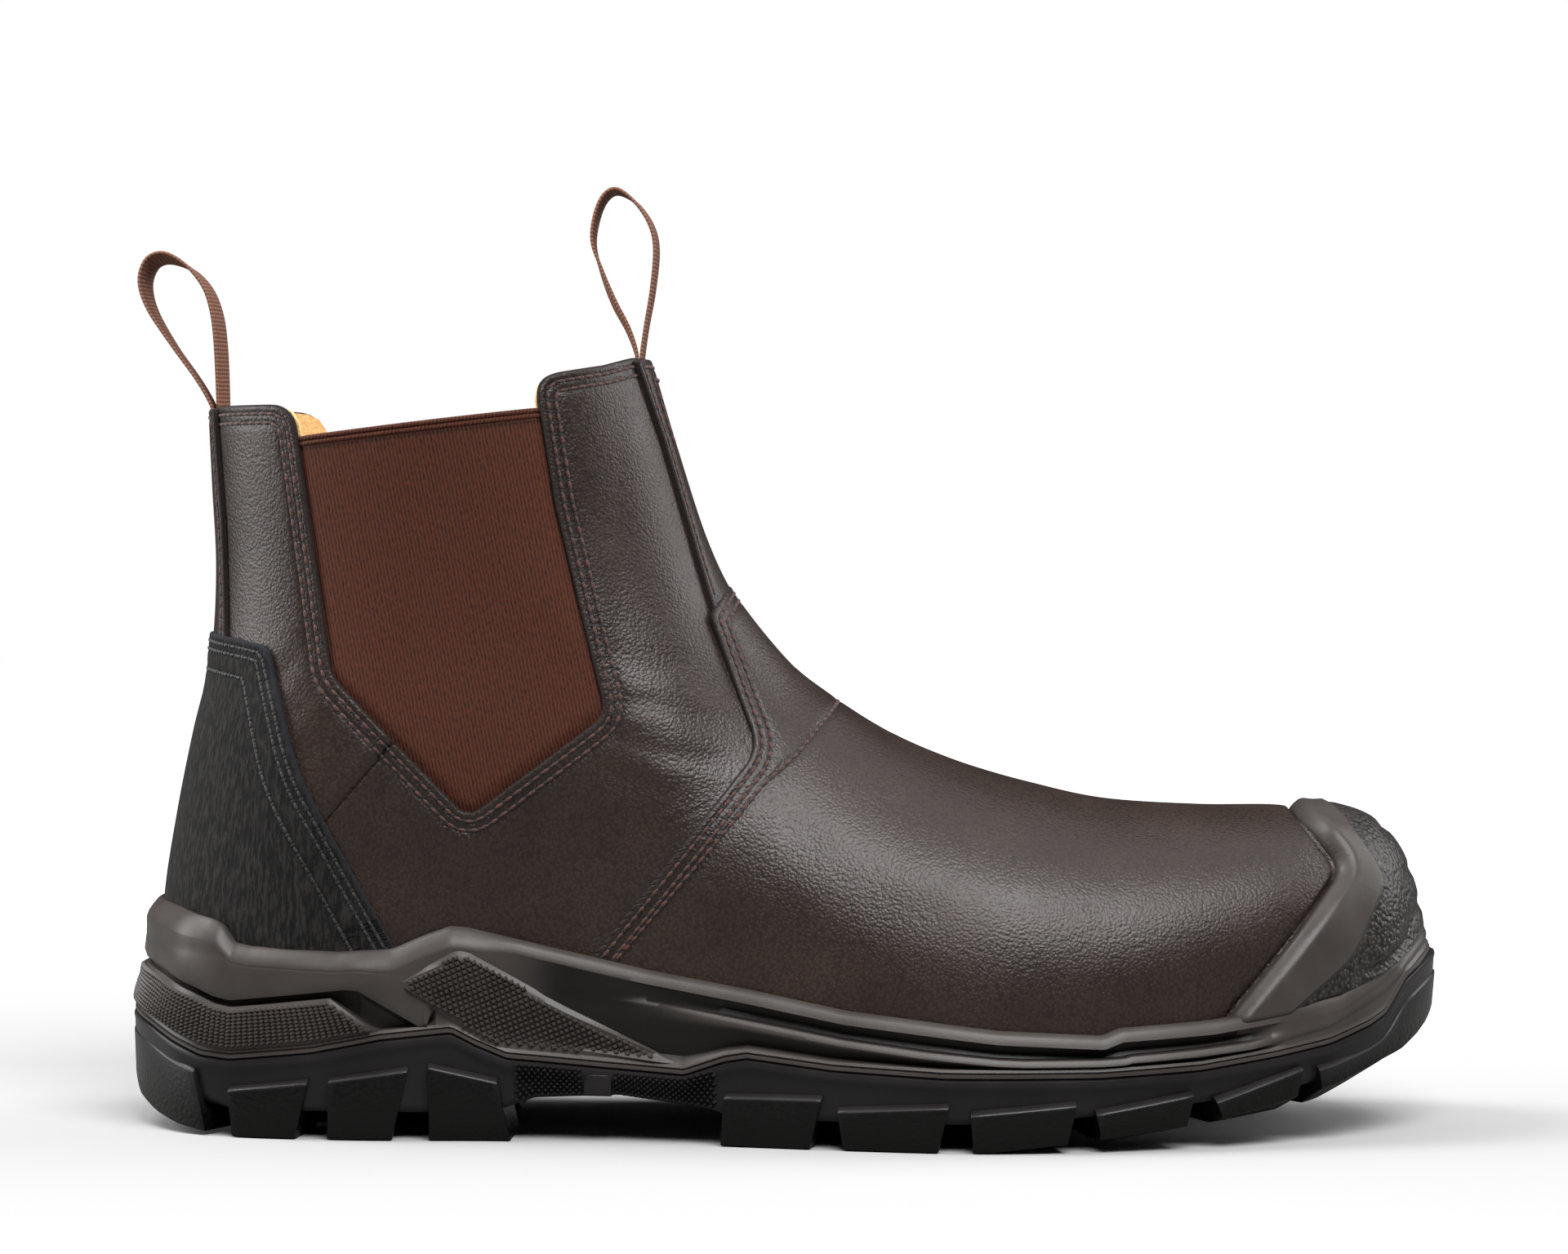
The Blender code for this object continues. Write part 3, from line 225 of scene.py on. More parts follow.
# Pull loops: middle of the tape in the side view from its rear foot over the crown, with its
# sideways shift and its tilt in degrees at each point
REAR_LOOP = [(-134.6, 163.0, 0.0, 1), (-135.6, 166.6, 0.0, 1), (-139.0, 172.4, 0.0, 1),
             (-144.8, 180.4, 0.2, 0), (-149.9, 188.6, 0.4, -5), (-151.7, 194.8, 0.5, -10),
             (-150.4, 199.4, 0.5, -13),
             (-147.4, 201.0, 0.3, -12), (-143.6, 200.0, 0.0, -6), (-139.8, 197.4, -0.2, 1),
             (-136.6, 193.2, -0.3, 5), (-134.7, 187.6, -0.4, 8), (-133.8, 180.8, -0.4, 9),
             (-133.3, 172.0, -0.2, 9), (-133.0, 163.0, 0.0, 8)]
FRONT_LOOP = [(-36.1, 175.5, 0.0, 2), (-36.3, 179.4, 0.0, 3), (-38.3, 185.0, 0.0, 5),
              (-41.6, 191.2, 0.0, 6), (-44.6, 198.6, 0.2, 3), (-46.6, 206.0, 0.3, -3),
              (-45.0, 214.0, 0.3, -5), (-41.7, 217.4, 0.2, -4), (-37.2, 215.2, 0.0, 2),
              (-33.3, 210.0, -0.2, 4), (-31.8, 204.0, -0.2, 4),
              (-32.5, 194.6, -0.1, 3), (-33.9, 186.0, 0.0, 2), (-34.8, 179.4, 0.0, 2),
              (-35.0, 175.5, 0.0, 2)]
TAPE_WIDTH, TAPE_THICK, TAPE_CORNER = 10.0, 0.75, 0.3

# Footbed: its ends, gap to the upper's plan, top, cupped edge and underside over the feather line
FOOTBED_HALF, FOOTBED_GAP = 139.0, 2.9
FOOTBED_TOP, FOOTBED_CUP, FOOTBED_LOW = 3.6, 0.9, 0.3


# Curves and fields in the side view

def spline_at(points, places):
    """Points of a smooth curve (Catmull-Rom) at places counted in spans from its first point."""
    points = np.asarray(points, float)
    end = len(points) - 1
    span = np.clip(np.floor(places).astype(int), 0, end - 1)
    t = (np.asarray(places, float) - span)[:, None]
    a, b, c, d = (points[np.clip(span + k, 0, end)] for k in (-1, 0, 1, 2))
    square, cube = 2 * a - 5 * b + 4 * c - d, 3 * b - a - 3 * c + d
    return 0.5 * (2 * b + (c - a) * t + square * t * t + cube * t ** 3)


def spline(points, per_span, closed=False):
    """A smooth curve through points, with so many steps to a span."""
    points = np.asarray(points, float)
    if closed:
        count = len(points)
        padded = np.vstack([points[-1:], points, points[:2]])
        return spline_at(padded, 1 + np.arange(count * per_span) / per_span)
    return spline_at(points, np.arange((len(points) - 1) * per_span + 1) / per_span)


def smoothstep(value):
    """Eases from nought to one as value does."""
    t = np.clip(value, 0.0, 1.0)
    return t * t * (3 - 2 * t)


def along(table, x):
    """Value at x of a table of (x, value) rows."""
    return np.interp(x, [row[0] for row in table], [row[1] for row in table])


def unit(vectors):
    """Vectors of length one in the same directions."""
    return vectors / np.maximum(np.linalg.norm(vectors, axis=1), 1e-12)[:, None]


def run_length(line):
    """Length along a line of points up to each of them."""
    return np.concatenate([[0], np.cumsum(np.linalg.norm(np.diff(line, axis=0), axis=1))])


def at_length(line, run, places):
    """Points of a line at these lengths along it."""
    return np.stack([np.interp(places, run, values) for values in np.transpose(line)], -1)


def rounded(corners, arc_steps=8):
    """A closed side-view outline with each corner's radius worked in."""
    out = []
    for i, (x, z, radius) in enumerate(corners):
        here = np.array((x, z))
        if not radius:
            out.append(here)
            continue
        before = np.array(corners[i - 1][:2]) - here
        after = np.array(corners[(i + 1) % len(corners)][:2]) - here
        before_length, after_length = np.linalg.norm(before), np.linalg.norm(after)
        before, after = before / before_length, after / after_length
        half_angle = 0.5 * math.acos(np.clip(before @ after, -1, 1))
        reach = min(radius / math.tan(half_angle), 0.48 * before_length, 0.48 * after_length)
        for t in np.linspace(0, 1, arc_steps + 1):
            out.append(here + before * reach * (1 - t) ** 2 + after * reach * t ** 2)
    return np.array(out)


def line_distance(line, x, z, closed=False):
    """Distance to a line of points in the side view, and on which side of its nearest run (x, z) lies."""
    line = np.asarray(line, float)
    ends = np.roll(line, -1, axis=0) if closed else line[1:]
    best = np.full(np.shape(x), 1e9)
    side = np.zeros(np.shape(x))
    for (ax, az), (bx, bz) in zip(line, ends):
        dx, dz = bx - ax, bz - az
        length = math.hypot(dx, dz)
        if length < 1e-9:
            continue
        t = np.clip(((x - ax) * dx + (z - az) * dz) / length ** 2, 0, 1)
        away = np.hypot(x - ax - t * dx, z - az - t * dz)
        turn = ((x - ax) * dz - (z - az) * dx) / length
        nearer = (away < best - 1e-9) | ((away < best + 1e-9) & (np.abs(turn) > np.abs(side)))
        best = np.where(nearer, away, best)
        side = np.where(nearer, turn, side)
    return best, np.where(side < 0, -1.0, 1.0)


def area_field(corners, x, z):
    """Signed distance to an outline: positive inside."""
    outline = rounded(corners)
    away, _ = line_distance(outline, x, z, closed=True)
    inside = np.zeros(np.shape(x), bool)
    for (ax, az), (bx, bz) in zip(outline, np.roll(outline, -1, axis=0)):
        crosses = (az > z) != (bz > z)
        at = ax + (z - az) * (bx - ax) / (bz - az if bz != az else 1e-9)
        inside ^= crosses & (x < at)
    return np.where(inside, away, -away)


def line_field(line, x, z):
    """Signed distance to an open line: positive on its right."""
    away, side = line_distance(line, x, z)
    return away * side


# The last

FRONT_LINE = spline(SECTIONS[:, :2], 12)
BACK_LINE = spline(SECTIONS[: HEEL_ROW + 1, 2:4], 12)
FEATHER_LINE = spline(SECTIONS[HEEL_ROW:, 2:4], 12)
SHAFT_FINE = spline(SHAFT, 8)
VAMP_FINE = spline(VAMP_ROUND, 8)


def even_loop(points, count):
    """A closed plan outline as even points from the heel tip along the outer side, and outward normals."""
    loop = np.vstack([points, points[:1]])
    run = run_length(loop)
    even = at_length(loop, run, np.linspace(0, run[-1], count, endpoint=False))
    ahead = unit(np.roll(even, -2, axis=0) - np.roll(even, 2, axis=0))
    return even, np.stack([ahead[:, 1], -ahead[:, 0]], 1)


RING_COUNT = 720
EDGE, EDGE_OUT = even_loop(spline(SOLE_OUTLINE, 24, closed=True), RING_COUNT)
TOE_AT = int(np.argmax(EDGE[:, 0]))
UPPER_EDGE = EDGE - SOLE_MARGIN * EDGE_OUT


def side_of_plan(loop, side):
    """One side of a plan outline as rising x and its y."""
    if side < 0:
        return loop[: TOE_AT + 1]
    return np.vstack([loop[TOE_AT:], loop[:1]])[::-1]


PLAN = {side: side_of_plan(UPPER_EDGE, side) for side in (-1, 1)}


def centre_y(x):
    """Sideways place of the last's middle at x: the toe swings inwards."""
    return TOE_INFLARE * smoothstep((np.asarray(x, float) - 25.0) / 130.0)


def round_in(share):
    """Quarter round from nought to one."""
    t = np.clip(share, 0.0, 1.0)
    return np.sqrt(t * (2 - t))


def half_width(x, z, side):
    """Half width of the last at (x, z); side is -1 outer, 1 inner."""
    plan = PLAN[side]
    foot = side * (np.interp(np.maximum(x, HEEL_FLAT_X), plan[:, 0], plan[:, 1]) - centre_y(x))
    heights = SHAFT_FINE[:, 0]
    shaft = np.interp(z, heights, SHAFT_FINE[:, 1])
    full = foot + (shaft - foot) * smoothstep((z - ANKLE_LOW) / (ANKLE_HIGH - ANKLE_LOW))
    ahead = np.maximum(np.interp(-z, -FRONT_LINE[:, 1], FRONT_LINE[:, 0]) - x, 1e-6)
    behind_top = np.maximum(FRONT_LINE[0, 0] - x, 0.0)
    front_z = np.interp(x, FRONT_LINE[:, 0], FRONT_LINE[:, 1])
    slope, curve = FRONT_RUN_ON
    above = np.maximum(front_z + slope * behind_top + curve * behind_top ** 2 - z, 1e-6)
    behind = x - np.interp(-z, -BACK_LINE[:, 1], BACK_LINE[:, 0])
    front = 1 / np.hypot(np.interp(z, heights, SHAFT_FINE[:, 2]) / ahead, along(VAMP_FINE, x) / above)
    return full * round_in(front) * round_in(behind / np.interp(z, heights, SHAFT_FINE[:, 3]))


def edges_of(triangles):
    """Edges of triangles, in the triangles' direction."""
    return np.vstack([triangles[:, pair] for pair in ((0, 1), (1, 2), (2, 0))])


class Sheet:
    """Triangles that lie on the last: points, outward normals, girth from the front line, edge marks."""

    def __init__(self, point, normal, girth, mark, triangles):
        self.point, self.normal, self.girth, self.mark = point, normal, girth, mark
        self.triangles = triangles

    @property
    def x(self):
        """The points' x."""
        return self.point[:, 0]

    @property
    def z(self):
        """The points' z."""
        return self.point[:, 2]

    def inside(self, corners):
        """Signed distance of the points to a side-view outline: positive inside."""
        return area_field(corners, self.x, self.z)

    def beside(self, line):
        """Signed distance of the points to an open side-view line: positive on its right."""
        return line_field(line, self.x, self.z)

    def only(self, triangles):
        """The sheet cut down to some triangles and their points."""
        used, renamed = np.unique(triangles, return_inverse=True)
        return Sheet(self.point[used], self.normal[used], self.girth[used], self.mark[used],
                     renamed.reshape(-1, 3))

    def rim(self):
        """Edges that belong to one triangle only, in that triangle's direction."""
        edges = edges_of(self.triangles)
        _, first, counts = np.unique(np.sort(edges, axis=1), axis=0, return_index=True, return_counts=True)
        return edges[first[counts == 1]]


def face_normals(corner):
    """Normals of faces given by their corner points, not of length one."""
    return np.cross(corner[:, 1] - corner[:, 0], corner[:, 2] - corner[:, 0])


def normals_of(point, triangles):
    """Normals at points, from the triangles round them."""
    face = face_normals(point[triangles])
    total = np.zeros_like(point)
    for k in range(3):
        np.add.at(total, triangles[:, k], face)
    return unit(total)


def crease_depth(x, z):
    """How far the creases press the leather in, with a low roll beside each."""
    depth = np.zeros_like(x)
    for line, deep, wide in CREASES:
        smooth_line = spline(line, 6)
        away, _ = line_distance(smooth_line, x, z)
        rear, front = smooth_line[:, 0].min(), smooth_line[:, 0].max()
        fade = smoothstep((x - rear + CREASE_FADE) / (2 * CREASE_FADE)) \
            * smoothstep((front + CREASE_FADE - x) / (2 * CREASE_FADE))
        roll = CREASE_ROLL * np.exp(-((away - ROLL_AT * wide) / wide) ** 2)
        depth += fade * deep * (np.exp(-(away / wide) ** 2) - roll)
    return depth


def make_last(span_steps, girth_steps, creased=True):
    """The whole skin of the last as one sheet, from above the collar to the feather line."""
    places = np.concatenate([i + np.arange(n) / n for i, n in enumerate(span_steps)] + [[len(span_steps)]])
    front = spline_at(SECTIONS[:, :2], places)
    upto = places <= HEEL_ROW
    back = np.vstack([spline_at(SECTIONS[: HEEL_ROW + 1, 2:4], places[upto]),
                      spline_at(SECTIONS[HEEL_ROW:, 2:4], places[~upto] - HEEL_ROW)])
    closed = np.interp(places, np.arange(len(SECTIONS)), SECTIONS[:, 4])[:, None]
    share = np.abs(np.arange(-girth_steps, girth_steps + 1)) / girth_steps
    t = closed * (1 - np.cos(math.pi * share)) / 2 + (1 - closed) * (1 - np.cos(math.pi / 2 * share))
    x = front[:, :1] + t * (back[:, :1] - front[:, :1])
    z = front[:, 1:] + t * (back[:, 1:] - front[:, 1:])
    y = np.zeros_like(x)
    for columns, side in ((slice(0, girth_steps), -1), (slice(girth_steps + 1, None), 1)):
        y[:, columns] = centre_y(x[:, columns]) + side * half_width(x[:, columns], z[:, columns], side)
    y[:, girth_steps] = centre_y(x[:, girth_steps])
    heel_ring = int(np.sum(upto)) - 1
    y[: heel_ring + 1, (0, -1)] = centre_y(x[: heel_ring + 1, (0, -1)])
    grid = np.stack([x, y, z], 2)
    run = np.concatenate([np.zeros((len(grid), 1)),
                          np.cumsum(np.linalg.norm(np.diff(grid, axis=1), axis=2), axis=1)], 1)
    girth = run - run[:, girth_steps: girth_steps + 1]
    rings, points = x.shape
    index = np.arange(rings * points).reshape(rings, points)
    index[: heel_ring + 1, -1] = index[: heel_ring + 1, 0]
    a, b, c, d = index[:-1, :-1], index[1:, :-1], index[1:, 1:], index[:-1, 1:]
    outer = np.arange(points - 1)[None, :] < girth_steps
    one = np.where(outer[..., None], np.stack([a, b, c], 2), np.stack([a, b, d], 2)).reshape(-1, 3)
    two = np.where(outer[..., None], np.stack([a, c, d], 2), np.stack([b, c, d], 2)).reshape(-1, 3)
    triangles = np.vstack([one, two])
    whole = (triangles[:, 0] != triangles[:, 1]) & (triangles[:, 1] != triangles[:, 2]) \
        & (triangles[:, 0] != triangles[:, 2])
    triangles = triangles[whole]
    point = grid.reshape(-1, 3)
    normal = normals_of(point, triangles)
    if normal[index[10, girth_steps // 2], 1] > 0:
        triangles, normal = triangles[:, ::-1], -normal
    if creased:
        point = point - normal * crease_depth(point[:, 0], point[:, 2])[:, None]
        normal = normals_of(point, triangles)
    return Sheet(point, normal, girth.reshape(-1), np.zeros(len(point), int), triangles).only(triangles)


def cut(sheet, field, mark=0, both=False, snap=0.25):
    """Cuts a sheet along field = 0. Keeps the positive side, or both sides joined along the cut."""
    value = np.array(field, float)
    point, normal, girth = sheet.point.copy(), sheet.normal.copy(), sheet.girth.copy()
    marks, t = sheet.mark.copy(), sheet.triangles
    edges = np.unique(np.sort(edges_of(t), axis=1), axis=0)
    i, j = edges[value[edges[:, 0]] * value[edges[:, 1]] < 0].T
    share = value[i] / (value[i] - value[j])
    near = np.concatenate([i, j])
    far = np.concatenate([j, i])
    reach = np.concatenate([share, 1 - share])
    close = (reach < snap) & (marks[near] == 0)
    near, far, reach = near[close], far[close], reach[close]
    order = np.argsort(reach, kind="stable")
    near, first = np.unique(near[order], return_index=True)
    far, reach = far[order][first], reach[order][first][:, None]
    point[near] += (sheet.point[far] - point[near]) * reach
    normal[near] += (sheet.normal[far] - normal[near]) * reach
    girth[near] += (sheet.girth[far] - girth[near]) * reach[:, 0]
    value[near] = 0.0
    marks[near] = np.maximum(marks[near], mark)
    sign = np.sign(value)[t]
    positive = (sign >= 0).all(1) & (sign > 0).any(1)
    negative = (sign <= 0).all(1) & (sign < 0).any(1)
    mixed = t[~positive & ~negative & (sign != 0).any(1)]
    extra, made, above, below = [], {}, [], []
    for triangle in mixed.tolist():
        loops = ([], [])
        for k in range(3):
            p, q = triangle[k], triangle[(k + 1) % 3]
            if value[p] >= 0:
                loops[0].append(p)
            if value[p] <= 0:
                loops[1].append(p)
            if value[p] * value[q] < 0:
                key = (min(p, q), max(p, q))
                if key not in made:
                    made[key] = len(point) + len(extra)
                    extra.append((key[0], key[1], value[key[0]] / (value[key[0]] - value[key[1]])))
                loops[0].append(made[key])
                loops[1].append(made[key])
        for loop, kept in zip(loops, (above, below)):
            kept += [(loop[0], loop[k], loop[k + 1]) for k in range(1, len(loop) - 1)]
    if extra:
        p, q = np.array([e[:2] for e in extra]).T
        share = np.array([e[2] for e in extra])[:, None]
        point = np.vstack([point, point[p] + (point[q] - point[p]) * share])
        normal = np.vstack([normal, normal[p] + (normal[q] - normal[p]) * share])
        girth = np.concatenate([girth, girth[p] + (girth[q] - girth[p]) * share[:, 0]])
        marks = np.concatenate([marks, np.full(len(extra), mark)])
    normal = unit(normal)
    kept = [t[positive], np.array(above, int).reshape(-1, 3)]
    if both:
        kept += [t[negative], np.array(below, int).reshape(-1, 3)]
    return Sheet(point, normal, girth, marks, t).only(np.vstack(kept))


def edge_distance(sheet, marks):
    """Distance of each point from the sheet's edges that carry one of these marks."""
    rim = sheet.rim()
    rim = rim[np.isin(sheet.mark[rim], marks).all(1)]
    samples = []
    for a, b in zip(sheet.point[rim[:, 0]], sheet.point[rim[:, 1]]):
        steps = max(2, int(np.linalg.norm(b - a) / 0.3) + 2)
        samples.append(a + (b - a) * np.linspace(0, 1, steps)[:, None])
    samples = np.vstack(samples)
    tree = kdtree.KDTree(len(samples))
    for k, sample in enumerate(samples):
        tree.insert(sample, k)
    tree.balance()
    return np.array([tree.find(p)[2] for p in sheet.point])


def lines_on(sheet, field):
    """Lines of points and normals where a field on the sheet passes zero."""
    value = np.where(field == 0, 1e-9, field)
    t = sheet.triangles[np.ptp(np.sign(value[sheet.triangles]), axis=1) > 0]
    joins = {}
    for triangle in t.tolist():
        ends = [tuple(sorted((triangle[k], triangle[(k + 1) % 3]))) for k in range(3)
                if value[triangle[k]] * value[triangle[(k + 1) % 3]] < 0]
        if len(ends) == 2:
            joins.setdefault(ends[0], []).append(ends[1])
            joins.setdefault(ends[1], []).append(ends[0])
    lines, seen = [], set()
    for start in sorted(joins, key=lambda e: (len(joins[e]), e)):
        if start in seen:
            continue
        chain, here = [start], start
        seen.add(start)
        while True:
            step = [e for e in joins[here] if e not in seen]
            if not step:
                break
            here = step[0]
            seen.add(here)
            chain.append(here)
        if len(chain) > 2:
            a, b = np.array(chain).T
            share = (value[a] / (value[a] - value[b]))[:, None]
            lines.append((sheet.point[a] + (sheet.point[b] - sheet.point[a]) * share,
                          sheet.normal[a] + (sheet.normal[b] - sheet.normal[a]) * share))
    return lines


# Meshes

def piece(name, point, faces, material, values=None, flat=None, sharp=40.0):
    """A mesh object from points in millimetres round the last's centre plane, faces and point values."""
    mesh = bpy.data.meshes.new(name)
    place = (np.asarray(point, float) + (0.0, AXIS_Y, 0.0)) * MM
    corners = np.concatenate([np.asarray(block).reshape(-1) for block in faces]).astype(np.int32)
    sizes = np.concatenate([np.full(len(block), np.shape(block)[1]) for block in faces])
    mesh.vertices.add(len(place))
    mesh.vertices.foreach_set("co", place.reshape(-1).astype(np.float32))
    mesh.loops.add(len(corners))
    mesh.loops.foreach_set("vertex_index", corners)
    mesh.polygons.add(len(sizes))
    mesh.polygons.foreach_set("loop_start", np.concatenate([[0], np.cumsum(sizes)[:-1]]).astype(np.int32))
    mesh.update(calc_edges=True)
    for key, value in (values or {}).items():
        mesh.attributes.new(key, "FLOAT", "POINT").data.foreach_set("value", np.asarray(value, np.float32))
    if flat is not None:
        layer = mesh.uv_layers.new(name="flat")
        layer.data.foreach_set("uv", np.asarray(flat, np.float32)[corners].reshape(-1))
    mesh.validate()
    mesh.shade_smooth()
    mesh.set_sharp_from_angle(angle=math.radians(sharp))
    obj = bpy.data.objects.new(name, mesh)
    bpy.context.scene.collection.objects.link(obj)
    mesh.materials.append(material)
    return obj


def slab(sheet, top, under, values=None):
    """Closed points and faces between two heights over a sheet, and the point values for both skins."""
    count = len(sheet.point)
    point = np.vstack([sheet.point + sheet.normal * np.reshape(top, (-1, 1)),
                       sheet.point + sheet.normal * np.reshape(under, (-1, 1))])
    rim = sheet.rim()
    walls = np.stack([rim[:, 1], rim[:, 0], rim[:, 0] + count, rim[:, 1] + count], 1)
    faces = [sheet.triangles, sheet.triangles[:, ::-1] + count, walls]
    doubled = {key: np.concatenate([value, np.zeros(count)]) for key, value in (values or {}).items()}
    return point, faces, doubled


def grid_faces(rows, columns, loop=False):
    """Quads of a grid of points, closed round its rows when loop is set."""
    index = np.arange(rows * columns).reshape(rows, columns)
    after = np.roll(index, -1, axis=1) if loop else index[:, 1:]
    here = index if loop else index[:, :-1]
    return np.stack([here[:-1], after[:-1], after[1:], here[1:]], 2).reshape(-1, 4)


def joined(*bodies):
    """Several bodies of points and faces as one."""
    points, faces, start = [], [], 0
    for point, blocks in bodies:
        points.append(point)
        faces += [np.asarray(block) + start for block in blocks]
        start += len(point)
    return np.vstack(points), faces


def swept(middle, rings):
    """A closed tube from rings of points round a line, its faces outwards."""
    count = rings.shape[1]
    point = rings.reshape(-1, 3)
    quads = grid_faces(len(middle), count, loop=True)
    caps = [np.arange(count)[::-1][None], (len(middle) - 1) * count + np.arange(count)[None]]
    corner = point[quads]
    outwards = corner.mean(axis=1) - np.repeat(middle[:-1], count, axis=0)
    if np.sum(face_normals(corner) * outwards) > 0:
        return point, [quads] + caps
    return point, [block[:, ::-1] for block in [quads] + caps]


def cord(line, radius, sides=8):
    """A round cord along a line that runs across the view."""
    ahead = np.gradient(line, axis=0)
    across = unit(np.cross(ahead, (0.0, 0.0, 1.0)))
    up = unit(np.cross(across, ahead))
    angle = 2 * math.pi * np.arange(sides)[None, :, None] / sides
    round_line = np.cos(angle) * across[:, None] + np.sin(angle) * up[:, None]
    return swept(line, line[:, None] + radius * round_line)


def flat_place(sheet):
    """Girth and height of each point, for patterns that follow the surface, on both skins."""
    flat = np.stack([sheet.girth, sheet.z], 1) * MM
    return np.vstack([flat, flat])


def leather_panel(name, sheet, top, thick, material, sewn=(1,), folded=(), rows=SEWN_ROWS, more_rows=None):
    """Makes a panel with rolled edges and pressed-in rows; returns its sheet, top heights and distances.

    Sewn and folded are the marks of its edges, rows the distances of its stitch rows from the sewn ones,
    and more_rows gives the distance from one more row.
    """
    every = tuple(sewn) + tuple(folded)
    for depth in (EDGE_ROLL, ROLL_WIDTH):
        sheet = cut(sheet, edge_distance(sheet, every) - depth, both=True)
    for row in rows:
        for depth in (row - ROW_HALF, row, row + ROW_HALF):
            sheet = cut(sheet, edge_distance(sheet, sewn) - depth, both=True)
    if more_rows:
        for depth in (-ROW_HALF, 0.0, ROW_HALF):
            sheet = cut(sheet, more_rows(sheet) - depth, both=True)
    away = edge_distance(sheet, every)
    from_sewn = edge_distance(sheet, sewn) if folded else away
    over = top(sheet) if callable(top) else np.full(len(away), float(top))
    roll = EDGE_ROLL * np.clip(1 - away / ROLL_WIDTH, 0, 1) ** 2.0
    beside = [from_sewn - row for row in rows] + ([more_rows(sheet)] if more_rows else [])
    dent = np.zeros_like(away)
    for field in beside:
        dent = np.maximum(dent, np.exp(-(field / ROW_FADE) ** 2))
    press = ROW_DEPTH * dent
    # "row" paints the colour darker along the stitch rows: painted shade in their pressed grooves
    values = {"edge": from_sewn, "row": 0.9 * dent}
    point, faces, values = slab(sheet, over - roll - press, over - thick, values)
    piece(name, point, faces, material, values, flat_place(sheet), sharp=50.0)
    return sheet, over - press, from_sewn


STITCHES = {"brown": [], "black": []}


def sew(sheet, over, field, colour, keep=None):
    """Lays a row of stitches along field = 0 on a panel's top face."""
    raised = sheet.point + sheet.normal * np.reshape(over, (-1, 1))
    lifted = Sheet(raised, sheet.normal, sheet.girth, sheet.mark, sheet.triangles)
    for line, normal in lines_on(lifted, field):
        run = run_length(line)
        if run[-1] < 2.2 * STITCH_PITCH:
            continue
        count = int(run[-1] // STITCH_PITCH)
        middle = (np.arange(count) + 0.5) * run[-1] / count
        start, end = (at_length(line, run, np.clip(middle + share * STITCH_PITCH, 0, run[-1]))
                      for share in (-STITCH_HALF, STITCH_HALF))
        up = unit(at_length(normal, run, middle))
        place = (start + end) / 2 + STITCH_LIFT * up
        kept = np.ones(count, bool) if keep is None else keep(place)
        STITCHES[colour].append((place[kept], (end - start)[kept], up[kept]))


# Materials

def linear(code):
    """A colour written as sRGB hex, in linear light."""
    parts = [int(code[k: k + 2], 16) / 255 for k in (1, 3, 5)]
    return tuple(c / 12.92 if c <= 0.04045 else ((c + 0.055) / 1.055) ** 2.4 for c in parts) + (1.0,)


def add(tree, kind, sockets=None, **settings):
    """Adds a node with its settings; each socket takes a constant or another node's output."""
    node = tree.nodes.new(kind)
    for key, value in settings.items():
        setattr(node, key, value)
    for key, value in (sockets or {}).items():
        if isinstance(value, bpy.types.NodeSocket):
            tree.links.new(value, node.inputs[key])
        else:
            node.inputs[key].default_value = value
    return node


def new_material(name, roughness, ior, **sockets):
    """A material with its shader's constants set; returns it, its tree and the shader."""
    made = bpy.data.materials.new(name)
    made.use_nodes = True
    tree = made.node_tree
    shader = tree.nodes["Principled BSDF"]
    shader.inputs["Roughness"].default_value = roughness
    shader.inputs["IOR"].default_value = ior
    for key, value in sockets.items():
        shader.inputs[key.replace("_", " ")].default_value = value
    return made, tree, shader


FACTOR, A_COLOUR, B_COLOUR, COLOUR_OUT = 0, 6, 7, 2    # sockets of a Mix node set to colours
WAVE = 0.31831             # scale at which a Wave texture repeats once in a unit


def per(size):
    """Texture scale that gives a pattern of this size in millimetres."""
    return 1.0 / (size * MM)


